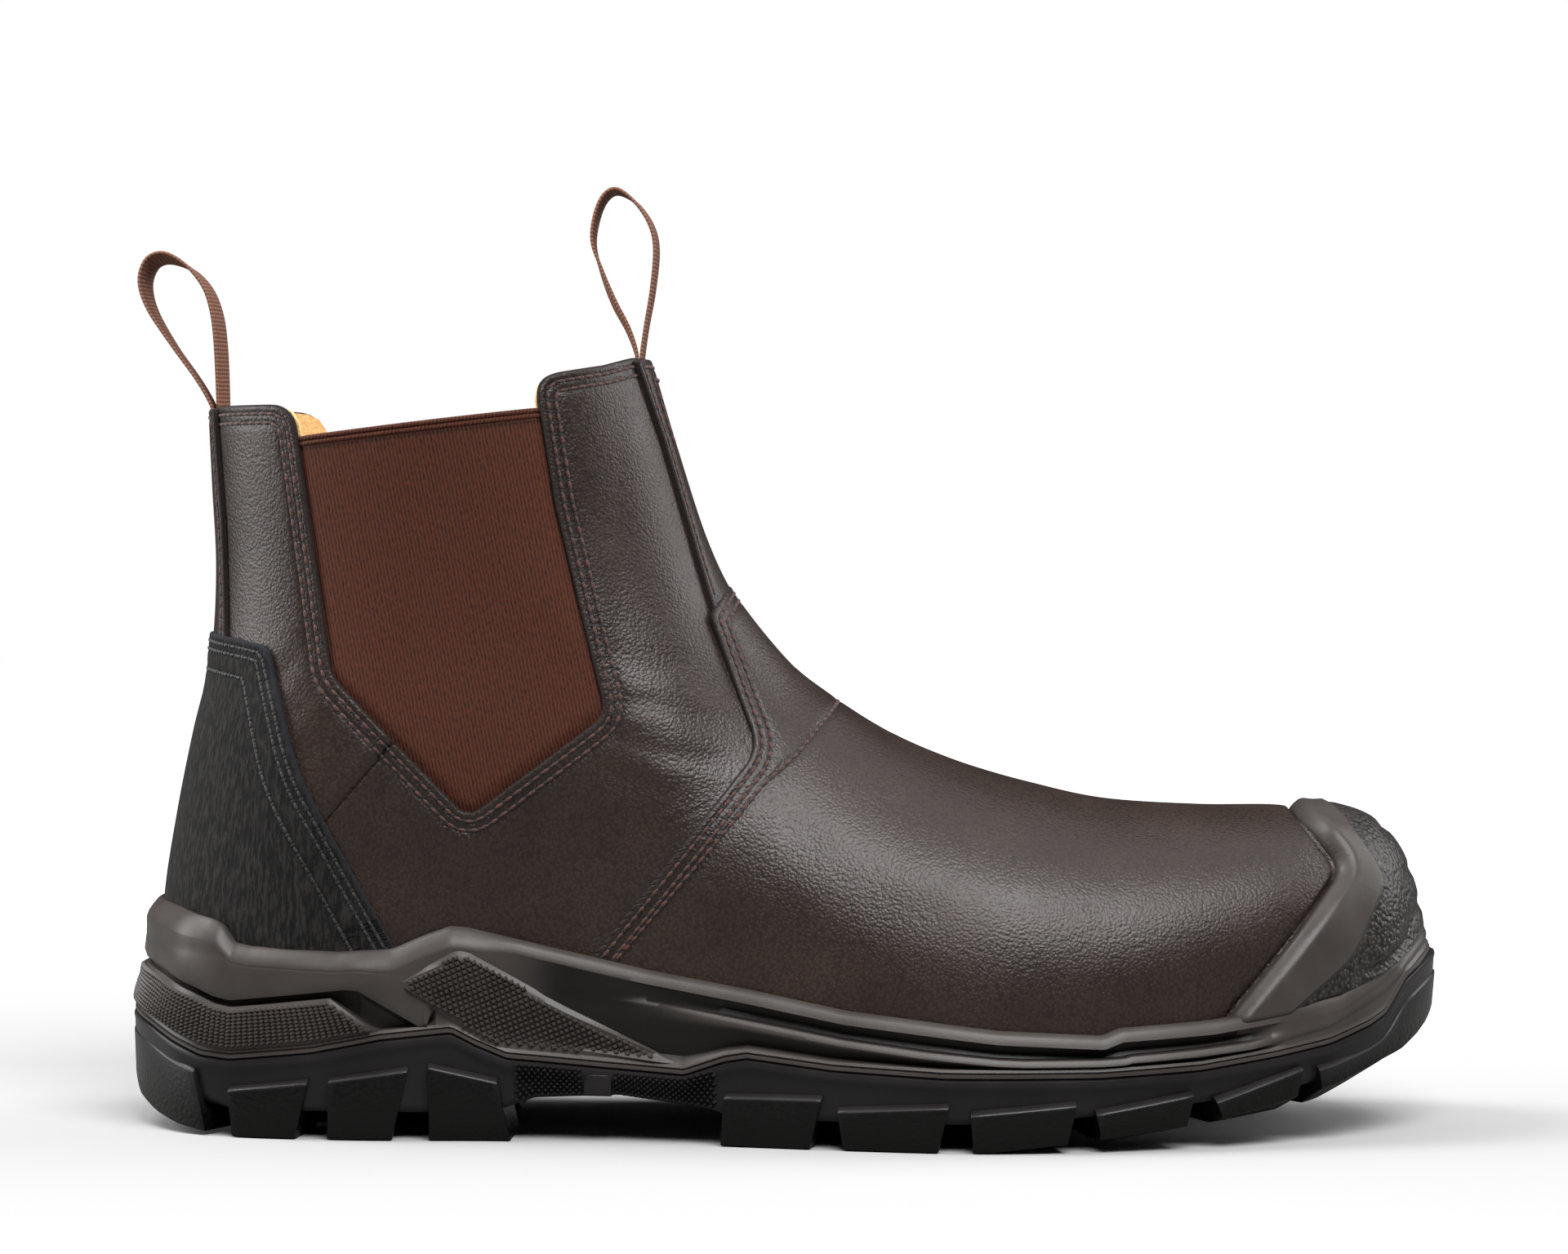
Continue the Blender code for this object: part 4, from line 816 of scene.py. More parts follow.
def make_leather(name, dark, light, raw, roughness):
    # Full-grain leather, drum-dyed and lightly oiled: pores of under a millimetre break a soft satin
    # gloss, the dye lies slightly uneven, and a cut edge shows the darker, fibrous inside.
    made, tree, shader = new_material(name, roughness, 1.48)
    place = add(tree, "ShaderNodeTexCoord").outputs["Object"]
    edge = add(tree, "ShaderNodeAttribute", attribute_name="edge").outputs["Fac"]
    cloud = add(tree, "ShaderNodeTexNoise", {"Vector": place, "Scale": per(24), "Detail": 4.0})
    row = add(tree, "ShaderNodeAttribute", attribute_name="row").outputs["Fac"]
    grain = add(tree, "ShaderNodeTexVoronoi", {"Vector": place, "Scale": per(0.75), "Randomness": 1.0})
    pore = add(tree, "ShaderNodeTexNoise", {"Vector": place, "Scale": per(0.5), "Detail": 2.0})
    dye = add(tree, "ShaderNodeMapRange", {"Value": cloud.outputs["Fac"], "From Min": 0.3, "From Max": 0.7})
    body = add(tree, "ShaderNodeMix", {FACTOR: dye.outputs[0], A_COLOUR: linear(dark),
                                       B_COLOUR: linear(light)}, data_type="RGBA")
    # Painted shade: the grain's valleys are painted darker, towards the raw edge's colour
    valley = add(tree, "ShaderNodeMapRange", {"Value": grain.outputs["Distance"], "From Min": 0.3,
                                              "From Max": 0.75, "To Max": 0.7})
    grained = add(tree, "ShaderNodeMix", {FACTOR: valley.outputs[0], A_COLOUR: body.outputs[COLOUR_OUT],
                                          B_COLOUR: linear(raw)}, data_type="RGBA")
    fray = add(tree, "ShaderNodeMath", {0: pore.outputs["Fac"], 1: 0.6, 2: edge}, operation="MULTIPLY_ADD")
    worn = add(tree, "ShaderNodeMapRange", {"Value": fray.outputs[0], "From Min": 0.5, "From Max": 1.25})
    cut_face = add(tree, "ShaderNodeMix", {FACTOR: worn.outputs[0], A_COLOUR: linear(raw),
                                           B_COLOUR: grained.outputs[COLOUR_OUT]}, data_type="RGBA")
    # Painted shade: colour goes towards near-black along the stitch rows' pressed grooves
    colour = add(tree, "ShaderNodeMix", {FACTOR: row, A_COLOUR: cut_face.outputs[COLOUR_OUT],
                                         B_COLOUR: linear("#0b0605")}, data_type="RGBA")
    height = add(tree, "ShaderNodeMath", {0: grain.outputs["Distance"], 1: pore.outputs["Fac"]},
                 operation="ADD")
    bump = add(tree, "ShaderNodeBump", {"Height": height.outputs[0], "Strength": 0.5, "Distance": 0.2 * MM},
               invert=True)
    gloss = add(tree, "ShaderNodeMapRange", {"Value": cloud.outputs["Fac"], "From Min": 0.25,
                                             "From Max": 0.75, "To Min": roughness - 0.05,
                                             "To Max": roughness + 0.07})
    matt = add(tree, "ShaderNodeMapRange", {"Value": fray.outputs[0], "From Min": 0.5, "From Max": 1.25,
                                            "To Min": 0.9, "To Max": 0.0})
    dull = add(tree, "ShaderNodeMath", {0: gloss.outputs[0], 1: matt.outputs[0]}, operation="MAXIMUM")
    tree.links.new(colour.outputs[COLOUR_OUT], shader.inputs["Base Color"])
    tree.links.new(dull.outputs[0], shader.inputs["Roughness"])
    tree.links.new(bump.outputs[0], shader.inputs["Normal"])
    return made


def make_elastic():
    # Elastic webbing woven as a close twill: slanted floats under a millimetre long catch the light in
    # rows, the yarn itself is dull and slightly fuzzy.
    made, tree, shader = new_material("woven_elastic_twill", 0.85, 1.4)
    flat = add(tree, "ShaderNodeUVMap", uv_map="flat").outputs[0]
    floats = add(tree, "ShaderNodeMapping", {"Vector": flat, "Rotation": (0, 0, math.radians(14)),
                                             "Scale": (per(0.8), per(1.0), 1.0)})
    yarns = add(tree, "ShaderNodeMapping", {"Vector": flat, "Rotation": (0, 0, math.radians(-10)),
                                            "Scale": (per(0.6), per(1.3), 1.0)})
    slant = add(tree, "ShaderNodeTexWave", {"Vector": floats.outputs[0], "Scale": WAVE, "Distortion": 2.2,
                                            "Detail": 3.0, "Detail Scale": 2.0}, bands_direction="X")
    fuzz = add(tree, "ShaderNodeTexNoise", {"Vector": yarns.outputs[0], "Scale": 1.0, "Detail": 3.0})
    weave = add(tree, "ShaderNodeMath", {0: fuzz.outputs["Fac"], 1: 1.7, 2: slant.outputs["Fac"]},
                operation="MULTIPLY_ADD")
    band = add(tree, "ShaderNodeAttribute", attribute_name="band").outputs["Fac"]
    beat = add(tree, "ShaderNodeMapping", {"Vector": flat, "Scale": (per(1.1), 1.0, 1.0)})
    tick = add(tree, "ShaderNodeTexWave", {"Vector": beat.outputs[0], "Scale": WAVE}, bands_direction="X")
    ticked = add(tree, "ShaderNodeMapRange", {"Value": tick.outputs["Fac"], "To Min": 0.35, "To Max": 1.0})
    dark_line = add(tree, "ShaderNodeMath", {0: band, 1: ticked.outputs[0]}, operation="MULTIPLY")
    depth = add(tree, "ShaderNodeMapRange", {"Value": weave.outputs[0], "From Min": 0.55, "From Max": 1.7})
    body = add(tree, "ShaderNodeMix", {FACTOR: depth.outputs[0], A_COLOUR: linear("#1e0d06"),
                                       B_COLOUR: linear("#582b19")}, data_type="RGBA")
    colour = add(tree, "ShaderNodeMix", {FACTOR: dark_line.outputs[0], A_COLOUR: body.outputs[COLOUR_OUT],
                                         B_COLOUR: linear("#1c0d09")}, data_type="RGBA")
    bump = add(tree, "ShaderNodeBump", {"Height": weave.outputs[0], "Strength": 0.5, "Distance": 0.2 * MM})
    tree.links.new(colour.outputs[COLOUR_OUT], shader.inputs["Base Color"])
    tree.links.new(bump.outputs[0], shader.inputs["Normal"])
    return made


def make_suede():
    # Microfibre suede brushed one way: a dull nap with streaks along the brushing and a pale fuzz at
    # glancing angles; the cut edge is a bluish fuzz. Single fibres are too fine to show, so the nap is
    # drawn as streaks of 0.75 by 4 mm.
    made, tree, shader = new_material("brushed_microfibre_suede", 0.92, 1.4, Sheen_Weight=0.03,
                                      Sheen_Roughness=0.4, Sheen_Tint=linear("#938e8a"))
    place = add(tree, "ShaderNodeTexCoord").outputs["Object"]
    edge = add(tree, "ShaderNodeAttribute", attribute_name="edge").outputs["Fac"]
    row = add(tree, "ShaderNodeAttribute", attribute_name="row").outputs["Fac"]
    brushed = add(tree, "ShaderNodeMapping", {"Vector": place, "Rotation": (0, math.radians(-5), 0),
                                              "Scale": (per(0.75), per(0.75), per(4.0))})
    streak = add(tree, "ShaderNodeTexNoise", {"Vector": brushed.outputs[0], "Scale": 1.0, "Detail": 5.0,
                                              "Roughness": 0.65})
    nap = add(tree, "ShaderNodeMapRange", {"Value": streak.outputs["Fac"], "From Min": 0.45,
                                           "From Max": 0.61})
    body = add(tree, "ShaderNodeMix", {FACTOR: nap.outputs[0], A_COLOUR: linear("#050505"),
                                       B_COLOUR: linear("#2a2726")}, data_type="RGBA")
    worn = add(tree, "ShaderNodeMapRange", {"Value": edge, "From Min": 0.2, "From Max": 1.0})
    cut_edge = add(tree, "ShaderNodeMix", {FACTOR: worn.outputs[0], A_COLOUR: linear("#1c2026"),
                                           B_COLOUR: body.outputs[COLOUR_OUT]}, data_type="RGBA")
    # Painted shade: colour goes towards near-black along the stitch rows' pressed grooves
    colour = add(tree, "ShaderNodeMix", {FACTOR: row, A_COLOUR: cut_edge.outputs[COLOUR_OUT],
                                         B_COLOUR: linear("#060606")}, data_type="RGBA")
    bump = add(tree, "ShaderNodeBump", {"Height": streak.outputs["Fac"], "Strength": 0.9,
                                        "Distance": 0.6 * MM})
    tree.links.new(colour.outputs[COLOUR_OUT], shader.inputs["Base Color"])
    tree.links.new(bump.outputs[0], shader.inputs["Normal"])
    return made


def make_moulded(name, dark, light, roughness, pebble_size, specular):
    # Moulded polyurethane or rubber: the skin takes the mould's fine spark grain, so it is even and
    # semi-matt, with a little bloom; "pebble" marks where the mould is pebbled, and the pebbles' hollows
    # are painted darker as painted shade; "matt" marks where the colour is painted darker as painted shade.
    # The spark grain is really about a tenth of a millimetre, and is drawn at 0.6 mm so that it shows.
    made, tree, shader = new_material(name, roughness, 1.5, Specular_IOR_Level=specular)
    place = add(tree, "ShaderNodeTexCoord").outputs["Object"]
    pebbled = add(tree, "ShaderNodeAttribute", attribute_name="pebble").outputs["Fac"]
    bloom = add(tree, "ShaderNodeTexNoise", {"Vector": place, "Scale": per(14), "Detail": 4.0})
    spark = add(tree, "ShaderNodeTexNoise", {"Vector": place, "Scale": per(0.6), "Detail": 2.0})
    pebble = add(tree, "ShaderNodeTexVoronoi", {"Vector": place, "Scale": per(pebble_size)},
                 feature="SMOOTH_F1")
    tone = add(tree, "ShaderNodeMapRange", {"Value": bloom.outputs["Fac"], "From Min": 0.3, "From Max": 0.7})
    body = add(tree, "ShaderNodeMix", {FACTOR: tone.outputs[0], A_COLOUR: linear(dark),
                                       B_COLOUR: linear(light)}, data_type="RGBA")
    stones = add(tree, "ShaderNodeMath", {0: pebble.outputs["Distance"], 1: pebbled}, operation="MULTIPLY")
    fine = add(tree, "ShaderNodeBump", {"Height": spark.outputs["Fac"], "Strength": 0.25,
                                        "Distance": 0.1 * MM})
    bump = add(tree, "ShaderNodeBump", {"Height": stones.outputs[0], "Strength": 0.7, "Distance": 0.55 * MM,
                                        "Normal": fine.outputs[0]}, invert=True)
    gloss = add(tree, "ShaderNodeMapRange", {"Value": bloom.outputs["Fac"], "To Min": roughness - 0.06,
                                             "To Max": roughness + 0.06})
    matt = add(tree, "ShaderNodeAttribute", attribute_name="matt").outputs["Fac"]
    # Painted shade: colour goes towards near-black in the pebbles' hollows and wherever "matt" is set
    hollow = add(tree, "ShaderNodeMath", {0: stones.outputs[0], 1: 1.3, 2: matt}, operation="MULTIPLY_ADD",
                 use_clamp=True)
    colour = add(tree, "ShaderNodeMix", {FACTOR: hollow.outputs[0], A_COLOUR: body.outputs[COLOUR_OUT],
                                         B_COLOUR: linear("#030303")}, data_type="RGBA")
    tree.links.new(colour.outputs[COLOUR_OUT], shader.inputs["Base Color"])
    tree.links.new(gloss.outputs[0], shader.inputs["Roughness"])
    tree.links.new(bump.outputs[0], shader.inputs["Normal"])
    return made


def make_yarn(name, dark, light, size):
    # Twisted polyester yarn: soft fibres with little gloss; the twist shows as fine light and dark turns.
    made, tree, shader = new_material(name, 0.7, 1.5, Sheen_Weight=0.2)
    place = add(tree, "ShaderNodeTexCoord").outputs["Object"]
    twist = add(tree, "ShaderNodeTexNoise", {"Vector": place, "Scale": per(size), "Detail": 2.0})
    turn = add(tree, "ShaderNodeMapRange", {"Value": twist.outputs["Fac"], "From Min": 0.35,
                                            "From Max": 0.65})
    body = add(tree, "ShaderNodeMix", {FACTOR: turn.outputs[0], A_COLOUR: linear(dark),
                                       B_COLOUR: linear(light)}, data_type="RGBA")
    bump = add(tree, "ShaderNodeBump", {"Height": twist.outputs["Fac"], "Strength": 0.4,
                                        "Distance": 0.15 * MM})
    tree.links.new(body.outputs[COLOUR_OUT], shader.inputs["Base Color"])
    tree.links.new(bump.outputs[0], shader.inputs["Normal"])
    return made


def make_webbing():
    # Plain-woven polyester tape: ribs across the tape every millimetre, a tighter cord along each edge.
    made, tree, shader = new_material("woven_polyester_tape", 0.8, 1.45)
    flat = add(tree, "ShaderNodeUVMap", uv_map="flat").outputs[0]
    scaled = add(tree, "ShaderNodeMapping", {"Vector": flat, "Scale": (per(0.95), per(1.1), 1.0)})
    weft = add(tree, "ShaderNodeTexWave", {"Vector": scaled.outputs[0], "Scale": WAVE, "Distortion": 0.6,
                                           "Detail": 1.0}, bands_direction="X")
    warp = add(tree, "ShaderNodeTexWave", {"Vector": scaled.outputs[0], "Scale": WAVE, "Distortion": 0.4,
                                           "Detail": 1.0}, bands_direction="Y")
    weave = add(tree, "ShaderNodeMath", {0: weft.outputs["Fac"], 1: warp.outputs["Fac"]}, operation="ADD")
    depth = add(tree, "ShaderNodeMapRange", {"Value": weave.outputs[0], "From Min": -0.3, "From Max": 2.3})
    body = add(tree, "ShaderNodeMix", {FACTOR: depth.outputs[0], A_COLOUR: linear("#2c1811"),
                                       B_COLOUR: linear("#9c6c57")}, data_type="RGBA")
    bump = add(tree, "ShaderNodeBump", {"Height": weave.outputs[0], "Strength": 0.6, "Distance": 0.2 * MM})
    tree.links.new(body.outputs[COLOUR_OUT], shader.inputs["Base Color"])
    tree.links.new(bump.outputs[0], shader.inputs["Normal"])
    return made


LEATHER = make_leather("oiled_full_grain_leather", "#2c201b", "#372822", "#1a110d", 0.38)
LINING_LEATHER = make_leather("sueded_split_leather", "#f4c17d", "#ffd99c", "#e0ab69", 0.85)
ELASTIC = make_elastic()
SUEDE = make_suede()
MIDSOLE = make_moulded("moulded_polyurethane", "#3a3532", "#47423f", 0.40, 0.95, 0.34)
RUBBER = make_moulded("moulded_black_rubber", "#1b191a", "#242223", 0.36, 0.9, 0.3)
BROWN_THREAD = make_yarn("twisted_polyester_thread_brown", "#2c1512", "#5c322a", 0.5)
BLACK_THREAD = make_yarn("twisted_polyester_thread_black", "#0b0b0c", "#252627", 0.5)
# Painted shade: near-black blobs sunk at the stitch ends stand for the shade in the needle holes
NEEDLE_HOLE = make_yarn("shaded_needle_hole", "#050303", "#0c0807", 0.5)
WEBBING = make_webbing()
FOOTBED = make_yarn("needled_footbed_cloth", "#9c7040", "#b98a54", 1.2)


# Upper

last = make_last(SPAN_STEPS, GIRTH_STEPS)
COLLAR, SEAM, VAMP, FRONT_STRIP, BACK_STRIP, COUNTER, GUARD = range(1, 8)    # marks of the cut edges
leather = cut(last, -last.inside(COLLAR_CUT), COLLAR)


def above_rim(sheet):
    """Drops what lies too far below the midsole's rim."""
    return cut(sheet, sheet.z - along(RIM, sheet.x) + TUCK)


quarters = above_rim(cut(leather, OVERLAP - leather.inside(VAMP_AREA)))
seam = quarters.beside(QUARTER_SEAM)


def rear_top(sheet):
    """Height of the rear quarter: it dips under the front one and swells beside the seam."""
    beside = sheet.beside(QUARTER_SEAM)
    dip = -SEAM_DIP * smoothstep((1.6 - beside) / 2.2)
    return dip + SEAM_SWELL * np.exp(-((beside - 2.6) / 1.5) ** 2)


def front_top(sheet):
    """Height of the front quarter, whose folded edge stands up along the seam."""
    return SEAM_FOLD * np.exp(-np.abs(sheet.beside(QUARTER_SEAM)) / 2.0)


rear = cut(quarters, seam + SEAM_LAP)
rear, rear_over, rear_away = leather_panel("quarter_rear", rear, rear_top, QUARTER_THICK, LEATHER, (COLLAR,))
front = cut(quarters, -seam, SEAM)
front, front_over, front_away = leather_panel("quarter_front", front, front_top, QUARTER_THICK, LEATHER,
                                              (COLLAR,), (SEAM,))
for row in SEWN_ROWS:
    sew(rear, rear_over, rear_away - row, "brown")
    sew(front, front_over, front_away - row, "brown")


def beside_guard(sheet):
    """One in the shadow gap where the leather dips behind the toe guard's edge, else nought."""
    return np.exp(-((sheet.inside(GUARD_AREA) - GAP_AT) / GAP_HALF) ** 2)


def vamp_top(sheet):
    """Height of the vamp: it rises over the front strip's end and dips behind the toe guard's edge."""
    beside = smoothstep((sheet.inside(FRONT_STRIP_LONG) + 6.0) / 9.0)
    rise = VAMP_RISE * beside * smoothstep((sheet.z - RISE_LOW) / 20.0)
    return VAMP_TOP + rise - GUARD_GAP * beside_guard(sheet)


vamp = above_rim(cut(leather, leather.inside(VAMP_AREA), VAMP))
vamp = cut(vamp, OVERLAP - vamp.inside(GUARD_AREA))
for depth in GAP_CUTS:
    vamp = cut(vamp, vamp.inside(GUARD_AREA) - depth, both=True)


def low_vamp_row(sheet):
    """Distance to the vamp's third stitch row, which runs over the instep."""
    beside = sheet.beside(LOW_VAMP_ROW)
    return np.where(sheet.z < LOW_ROW_END + 0.5, beside, np.maximum(np.abs(beside), UNCUT))


vamp, vamp_over, vamp_away = leather_panel("vamp", vamp, vamp_top, VAMP_THICK, LEATHER, (VAMP,),
                                           more_rows=low_vamp_row)
for row in SEWN_ROWS:
    sew(vamp, vamp_over, vamp_away - row, "brown")
sew(vamp, vamp_over, vamp.beside(LOW_VAMP_ROW), "brown",
    keep=lambda place: place[:, 2] < LOW_ROW_END)

strip = cut(leather, leather.inside(FRONT_STRIP_AREA), FRONT_STRIP)
strip, strip_over, strip_away = leather_panel("front_strip_leather", strip, OVERLAY_TOP, OVERLAY_THICK,
                                              LEATHER, (FRONT_STRIP, COLLAR), rows=(STRIP_ROW,))
sew(strip, strip_over, strip_away - TACK_ROW, "brown", keep=lambda place: place[:, 2] > TACK_LOW)
sew(strip, strip_over, strip_away - STRIP_ROW, "brown",
    keep=lambda place: area_field(VAMP_AREA, place[:, 0], place[:, 2]) < -1.0)
strip = cut(leather, leather.inside(BACK_STRIP_AREA), BACK_STRIP)
strip = cut(strip, strip.z - BACK_STRIP_END)
strip, strip_over, strip_away = leather_panel("back_strip_leather", strip, OVERLAY_TOP, OVERLAY_THICK,
                                              LEATHER, (BACK_STRIP, COLLAR), rows=(STRIP_ROW,))
sew(strip, strip_over, strip_away - STRIP_ROW, "brown",
    keep=lambda place: area_field(COUNTER_AREA, place[:, 0], place[:, 2]) < -1.0)


def counter_top(sheet):
    """Height of the counter patch, which rises over the back strip's end."""
    over_strip = smoothstep((sheet.inside(BACK_STRIP_AREA) + 4.0) / 4.0)
    return OVERLAY_TOP + COUNTER_RISE * over_strip * smoothstep((sheet.z - RISE_LOW) / 14.0)


counter = above_rim(cut(leather, leather.inside(COUNTER_AREA), COUNTER))
counter, counter_over, counter_away = leather_panel("counter_patch_suede", counter, counter_top,
                                                    OVERLAY_THICK, SUEDE, (COUNTER,), rows=COUNTER_ROWS)
for row in COUNTER_ROWS:
    sew(counter, counter_over, counter_away - row, "black")

lining = make_last([max(2, n // 3) for n in SPAN_STEPS], GIRTH_STEPS * 2 // 5, creased=False)
lining = cut(lining, -lining.inside(COLLAR_CUT) - LINING_BACK, COLLAR)
under_elastic = LINING_DIP * smoothstep((lining.inside(GUSSET_ONLY) + 6.5) / 3.0)
point, faces, _ = slab(lining, LINING[0] - under_elastic, LINING[1] - under_elastic)
piece("lining", point, faces, LINING_LEATHER, {"edge": np.full(len(point), UNCUT)}, sharp=50.0)


# Elastic gussets

def elastic_top(x, z):
    """Height of the elastic over the last: tucked in under the leather's edge."""
    bared = smoothstep((area_field(COLLAR_CUT, x, z) + 0.6) / 3.0)
    return ELASTIC_TUCKED + (ELASTIC_OPEN - ELASTIC_TUCKED) * bared


elastic = cut(last, last.inside(COLLAR_CUT) + ELASTIC_HEM)
elastic = cut(elastic, -elastic.beside(GUSSET_TOP), COLLAR)
elastic = elastic.only(elastic.triangles[elastic.x[elastic.triangles].max(axis=1) < ELASTIC_FRONT_X])
for depth in ELASTIC_CUTS:
    elastic = cut(elastic, -elastic.beside(GUSSET_TOP) - depth, both=True, snap=0.35)
for name, side in (("gusset_outer_elastic", -1), ("gusset_inner_elastic", 1)):
    on_side = (side * elastic.point[elastic.triangles][:, :, 1]).min(axis=1) > 0
    half = elastic.only(elastic.triangles[on_side])
    below = -half.beside(GUSSET_TOP)
    over = elastic_top(half.x, half.z)
    sewn = np.clip(1 - np.abs(below - SEWN_BELOW) / SEWN_HALF, 0, 1)
    point, faces, values = slab(half, over, over - ELASTIC_THICK, {"band": sewn})
    bodies, flat = [(point, faces)], [np.tile(np.stack([half.x, below], 1), (2, 1))]
    for depth in CORDS:
        line, normal = max(lines_on(half, below - depth), key=lambda found: len(found[0]))
        run = run_length(line)
        line = line + normal * (elastic_top(line[:, 0], line[:, 2]) - CORD_SINK)[:, None]
        line = at_length(line, run, np.linspace(0, run[-1], int(run[-1] / CORD_STEP)))
        bodies.append(cord(line, CORD_RADIUS))
        flat.append(bodies[-1][0][:, (0, 2)])
    point, faces = joined(*bodies)
    values = {"band": np.concatenate([values["band"], np.zeros(len(point) - len(values["band"]))])}
    piece(name, point, faces, ELASTIC, values, np.vstack(flat) * MM, sharp=60.0)


# Sole

RING_X = EDGE[:, 0]


def ring_at(x, side):
    """Place along the sole's edge, counted in ring points from the heel tip, of x on one side."""
    places = np.arange(TOE_AT + 1) if side < 0 else np.arange(RING_COUNT, TOE_AT - 1, -1)
    return np.interp(x, side_of_plan(EDGE, side)[:, 0], places)


def edge_place(s, out):
    """Plan position and outward normal at ring place s, moved out by out."""
    low = np.floor(s).astype(int)
    share = (s - low)[..., None]
    place = EDGE[low % RING_COUNT] * (1 - share) + EDGE[(low + 1) % RING_COUNT] * share
    normal = EDGE_OUT[low % RING_COUNT] * (1 - share) + EDGE_OUT[(low + 1) % RING_COUNT] * share
    return place + normal * np.asarray(out)[..., None], normal


def edge_x(s):
    """x of the sole's edge at ring place s."""
    return edge_place(s, np.zeros_like(s))[0][..., 0]


def edge_points(s, z, out):
    """Points at ring place s and height z, moved out by out."""
    place, _ = edge_place(s, out)
    return np.concatenate([place, np.asarray(z, float)[..., None]], -1)


def ring_loft(rows):
    """Closed body from rings round the sole, bottom to top, each (offset from the edge, height)."""
    s = np.arange(RING_COUNT, dtype=float)
    point = np.vstack([edge_points(s, np.broadcast_to(height, s.shape), np.broadcast_to(out, s.shape))
                       for out, height in rows])
    half = RING_COUNT // 2
    k = np.arange(1, half)
    mirror = (RING_COUNT - k) % RING_COUNT
    strip = np.stack([k[:-1], k[1:], mirror[1:], mirror[:-1]], 1)
    tip = np.array([[0, 1, RING_COUNT - 1], [half - 1, half, half + 1]])
    top = (len(rows) - 1) * RING_COUNT
    sides = grid_faces(len(rows), RING_COUNT, loop=True)
    return point, [sides, strip + top, tip + top, strip[:, ::-1], tip[:, ::-1]]


def plate(front, back):
    """A closed plate between two grids of points."""
    rows, columns, _ = front.shape
    index = np.arange(rows * columns).reshape(rows, columns)
    border = np.concatenate([index[0, :-1], index[:-1, -1], index[-1, :0:-1], index[:0:-1, 0]])
    after = np.roll(border, -1)
    count = rows * columns
    walls = np.stack([after, border, border + count, after + count], 1)
    faces = grid_faces(rows, columns)
    point = np.vstack([front.reshape(-1, 3), back.reshape(-1, 3)])
    return point, [faces, faces[:, ::-1] + count, walls]


def patch(s, z, out):
    """A raised plate on the sole's side from grids of ring place, height and offset, its back sunk in."""
    return plate(edge_points(s, z, out), edge_points(s, z, np.full_like(s, out.min() - PLATE_SINK)))


def outward(body, centre):
    """The body with its faces turned outwards from a point inside it."""
    point, faces = body
    corner = point[np.asarray(faces[0])]
    facing = np.sum(face_normals(corner) * (corner.mean(axis=1) - centre), axis=1).sum()
    return body if facing > 0 else (point, [np.asarray(block)[:, ::-1] for block in faces])


FEATHER_BY_X = FEATHER_LINE[np.argsort(FEATHER_LINE[:, 0])]


def round_heel(x):
    """One round the back of the heel, nought ahead of it."""
    return smoothstep((-136.0 - x) / 12.0)


def heel_lean(x, z):
    """How far the back of the heel leans in over the outsole's edge."""
    return round_heel(x) * np.clip((z - 27.0) * 0.35, 0.0, 2.3)


def on_wall(rows, z):
    """Offset at height z on a side given as rows of offsets and heights, point by point."""
    outs, heights = (np.array([row[k] + 0 * z for row in rows]) for k in (0, 1))
    return np.array([np.interp(height, heights[:, k], outs[:, k]) for k, height in enumerate(z)])


def midsole_rows(x):
    """The midsole's side: parting beads, heel groove, rib shelf, undercut, lit chamfer and lip."""
    parting, groove, rib, rim = (along(table, x) for table in (PARTING, GROOVE, RIB, RIM))
    heel = smoothstep((-79.0 - x) / 2.0)
    shelf = smoothstep((x + 42.0) / 36.0)
    toe = smoothstep((x - 102.0) / 12.0)
    broad = smoothstep((-60.0 - x) / 12.0)
    tip = smoothstep((x - 130.0) / 14.0)
    rows = [(out, parting + up) for out, up in BEADS]
    low = parting + 2.3
    chamfer = rim - 2.9 - 1.6 * broad
    rib = np.minimum(np.maximum(rib, low + 1.2), chamfer - 1.0)
    for k, (over, deep) in enumerate(HEEL_GROOVE):
        plain = low + (rib - 0.9 - low) * (k + 1) / 6
        at_heel = low + 0.1 if over is None else groove + over
        height = np.maximum(heel * at_heel + (1 - heel) * plain, low + 0.02 * k)
        deep = deep * (1 - 0.6 * round_heel(x)) if deep < -1 else deep
        leaning = -0.85 + (0.1 * k - 0.4 * (4 - k)) * (1 - toe) * smoothstep((x + 79.0) / 20.0)
        rows.append((heel * deep + (1 - heel) * leaning, height))
    rib = np.maximum(rib, rows[-1][1] + 0.8)
    chamfer = np.maximum(chamfer, rib + 1.6)
    shelf = shelf * (1 - toe)
    rows += [(-0.35 + 0.2 * shelf - 0.25 * toe, rib - 0.75), (-0.4 + 0.05 * shelf, rib - 0.1),
             (-0.5 - 0.4 * shelf, rib + 0.6), (-0.55 - 2.3 * shelf, rib + 1.0),
             (-0.6 - 2.9 * shelf, rib + 1.0 + 0.5 * (chamfer - rib - 1.4)),
             (-0.55 - 2.3 * shelf, chamfer - 0.3), (-0.6, chamfer)]
    rise = np.maximum(rim - chamfer, 1.0)
    for share, slim, full in LIP:
        out = slim * (1 - broad) + full * broad
        lean = -0.75 - 1.2 * share ** 3
        rows.append((out * (1 - toe) + lean * toe, chamfer + share * rise))
    floor = along(FEATHER_BY_X, x) - 0.5
    rows += [(-4.4, rim - 0.1), (-6.9, rim - 0.6), (-7.2, np.minimum(rim - 1.2, floor + 1.0)), (-7.6, floor)]
    return [(out - tip * np.maximum(height - 38.0, 0.0) * 0.26 - heel_lean(x, height), height)
            for out, height in rows]


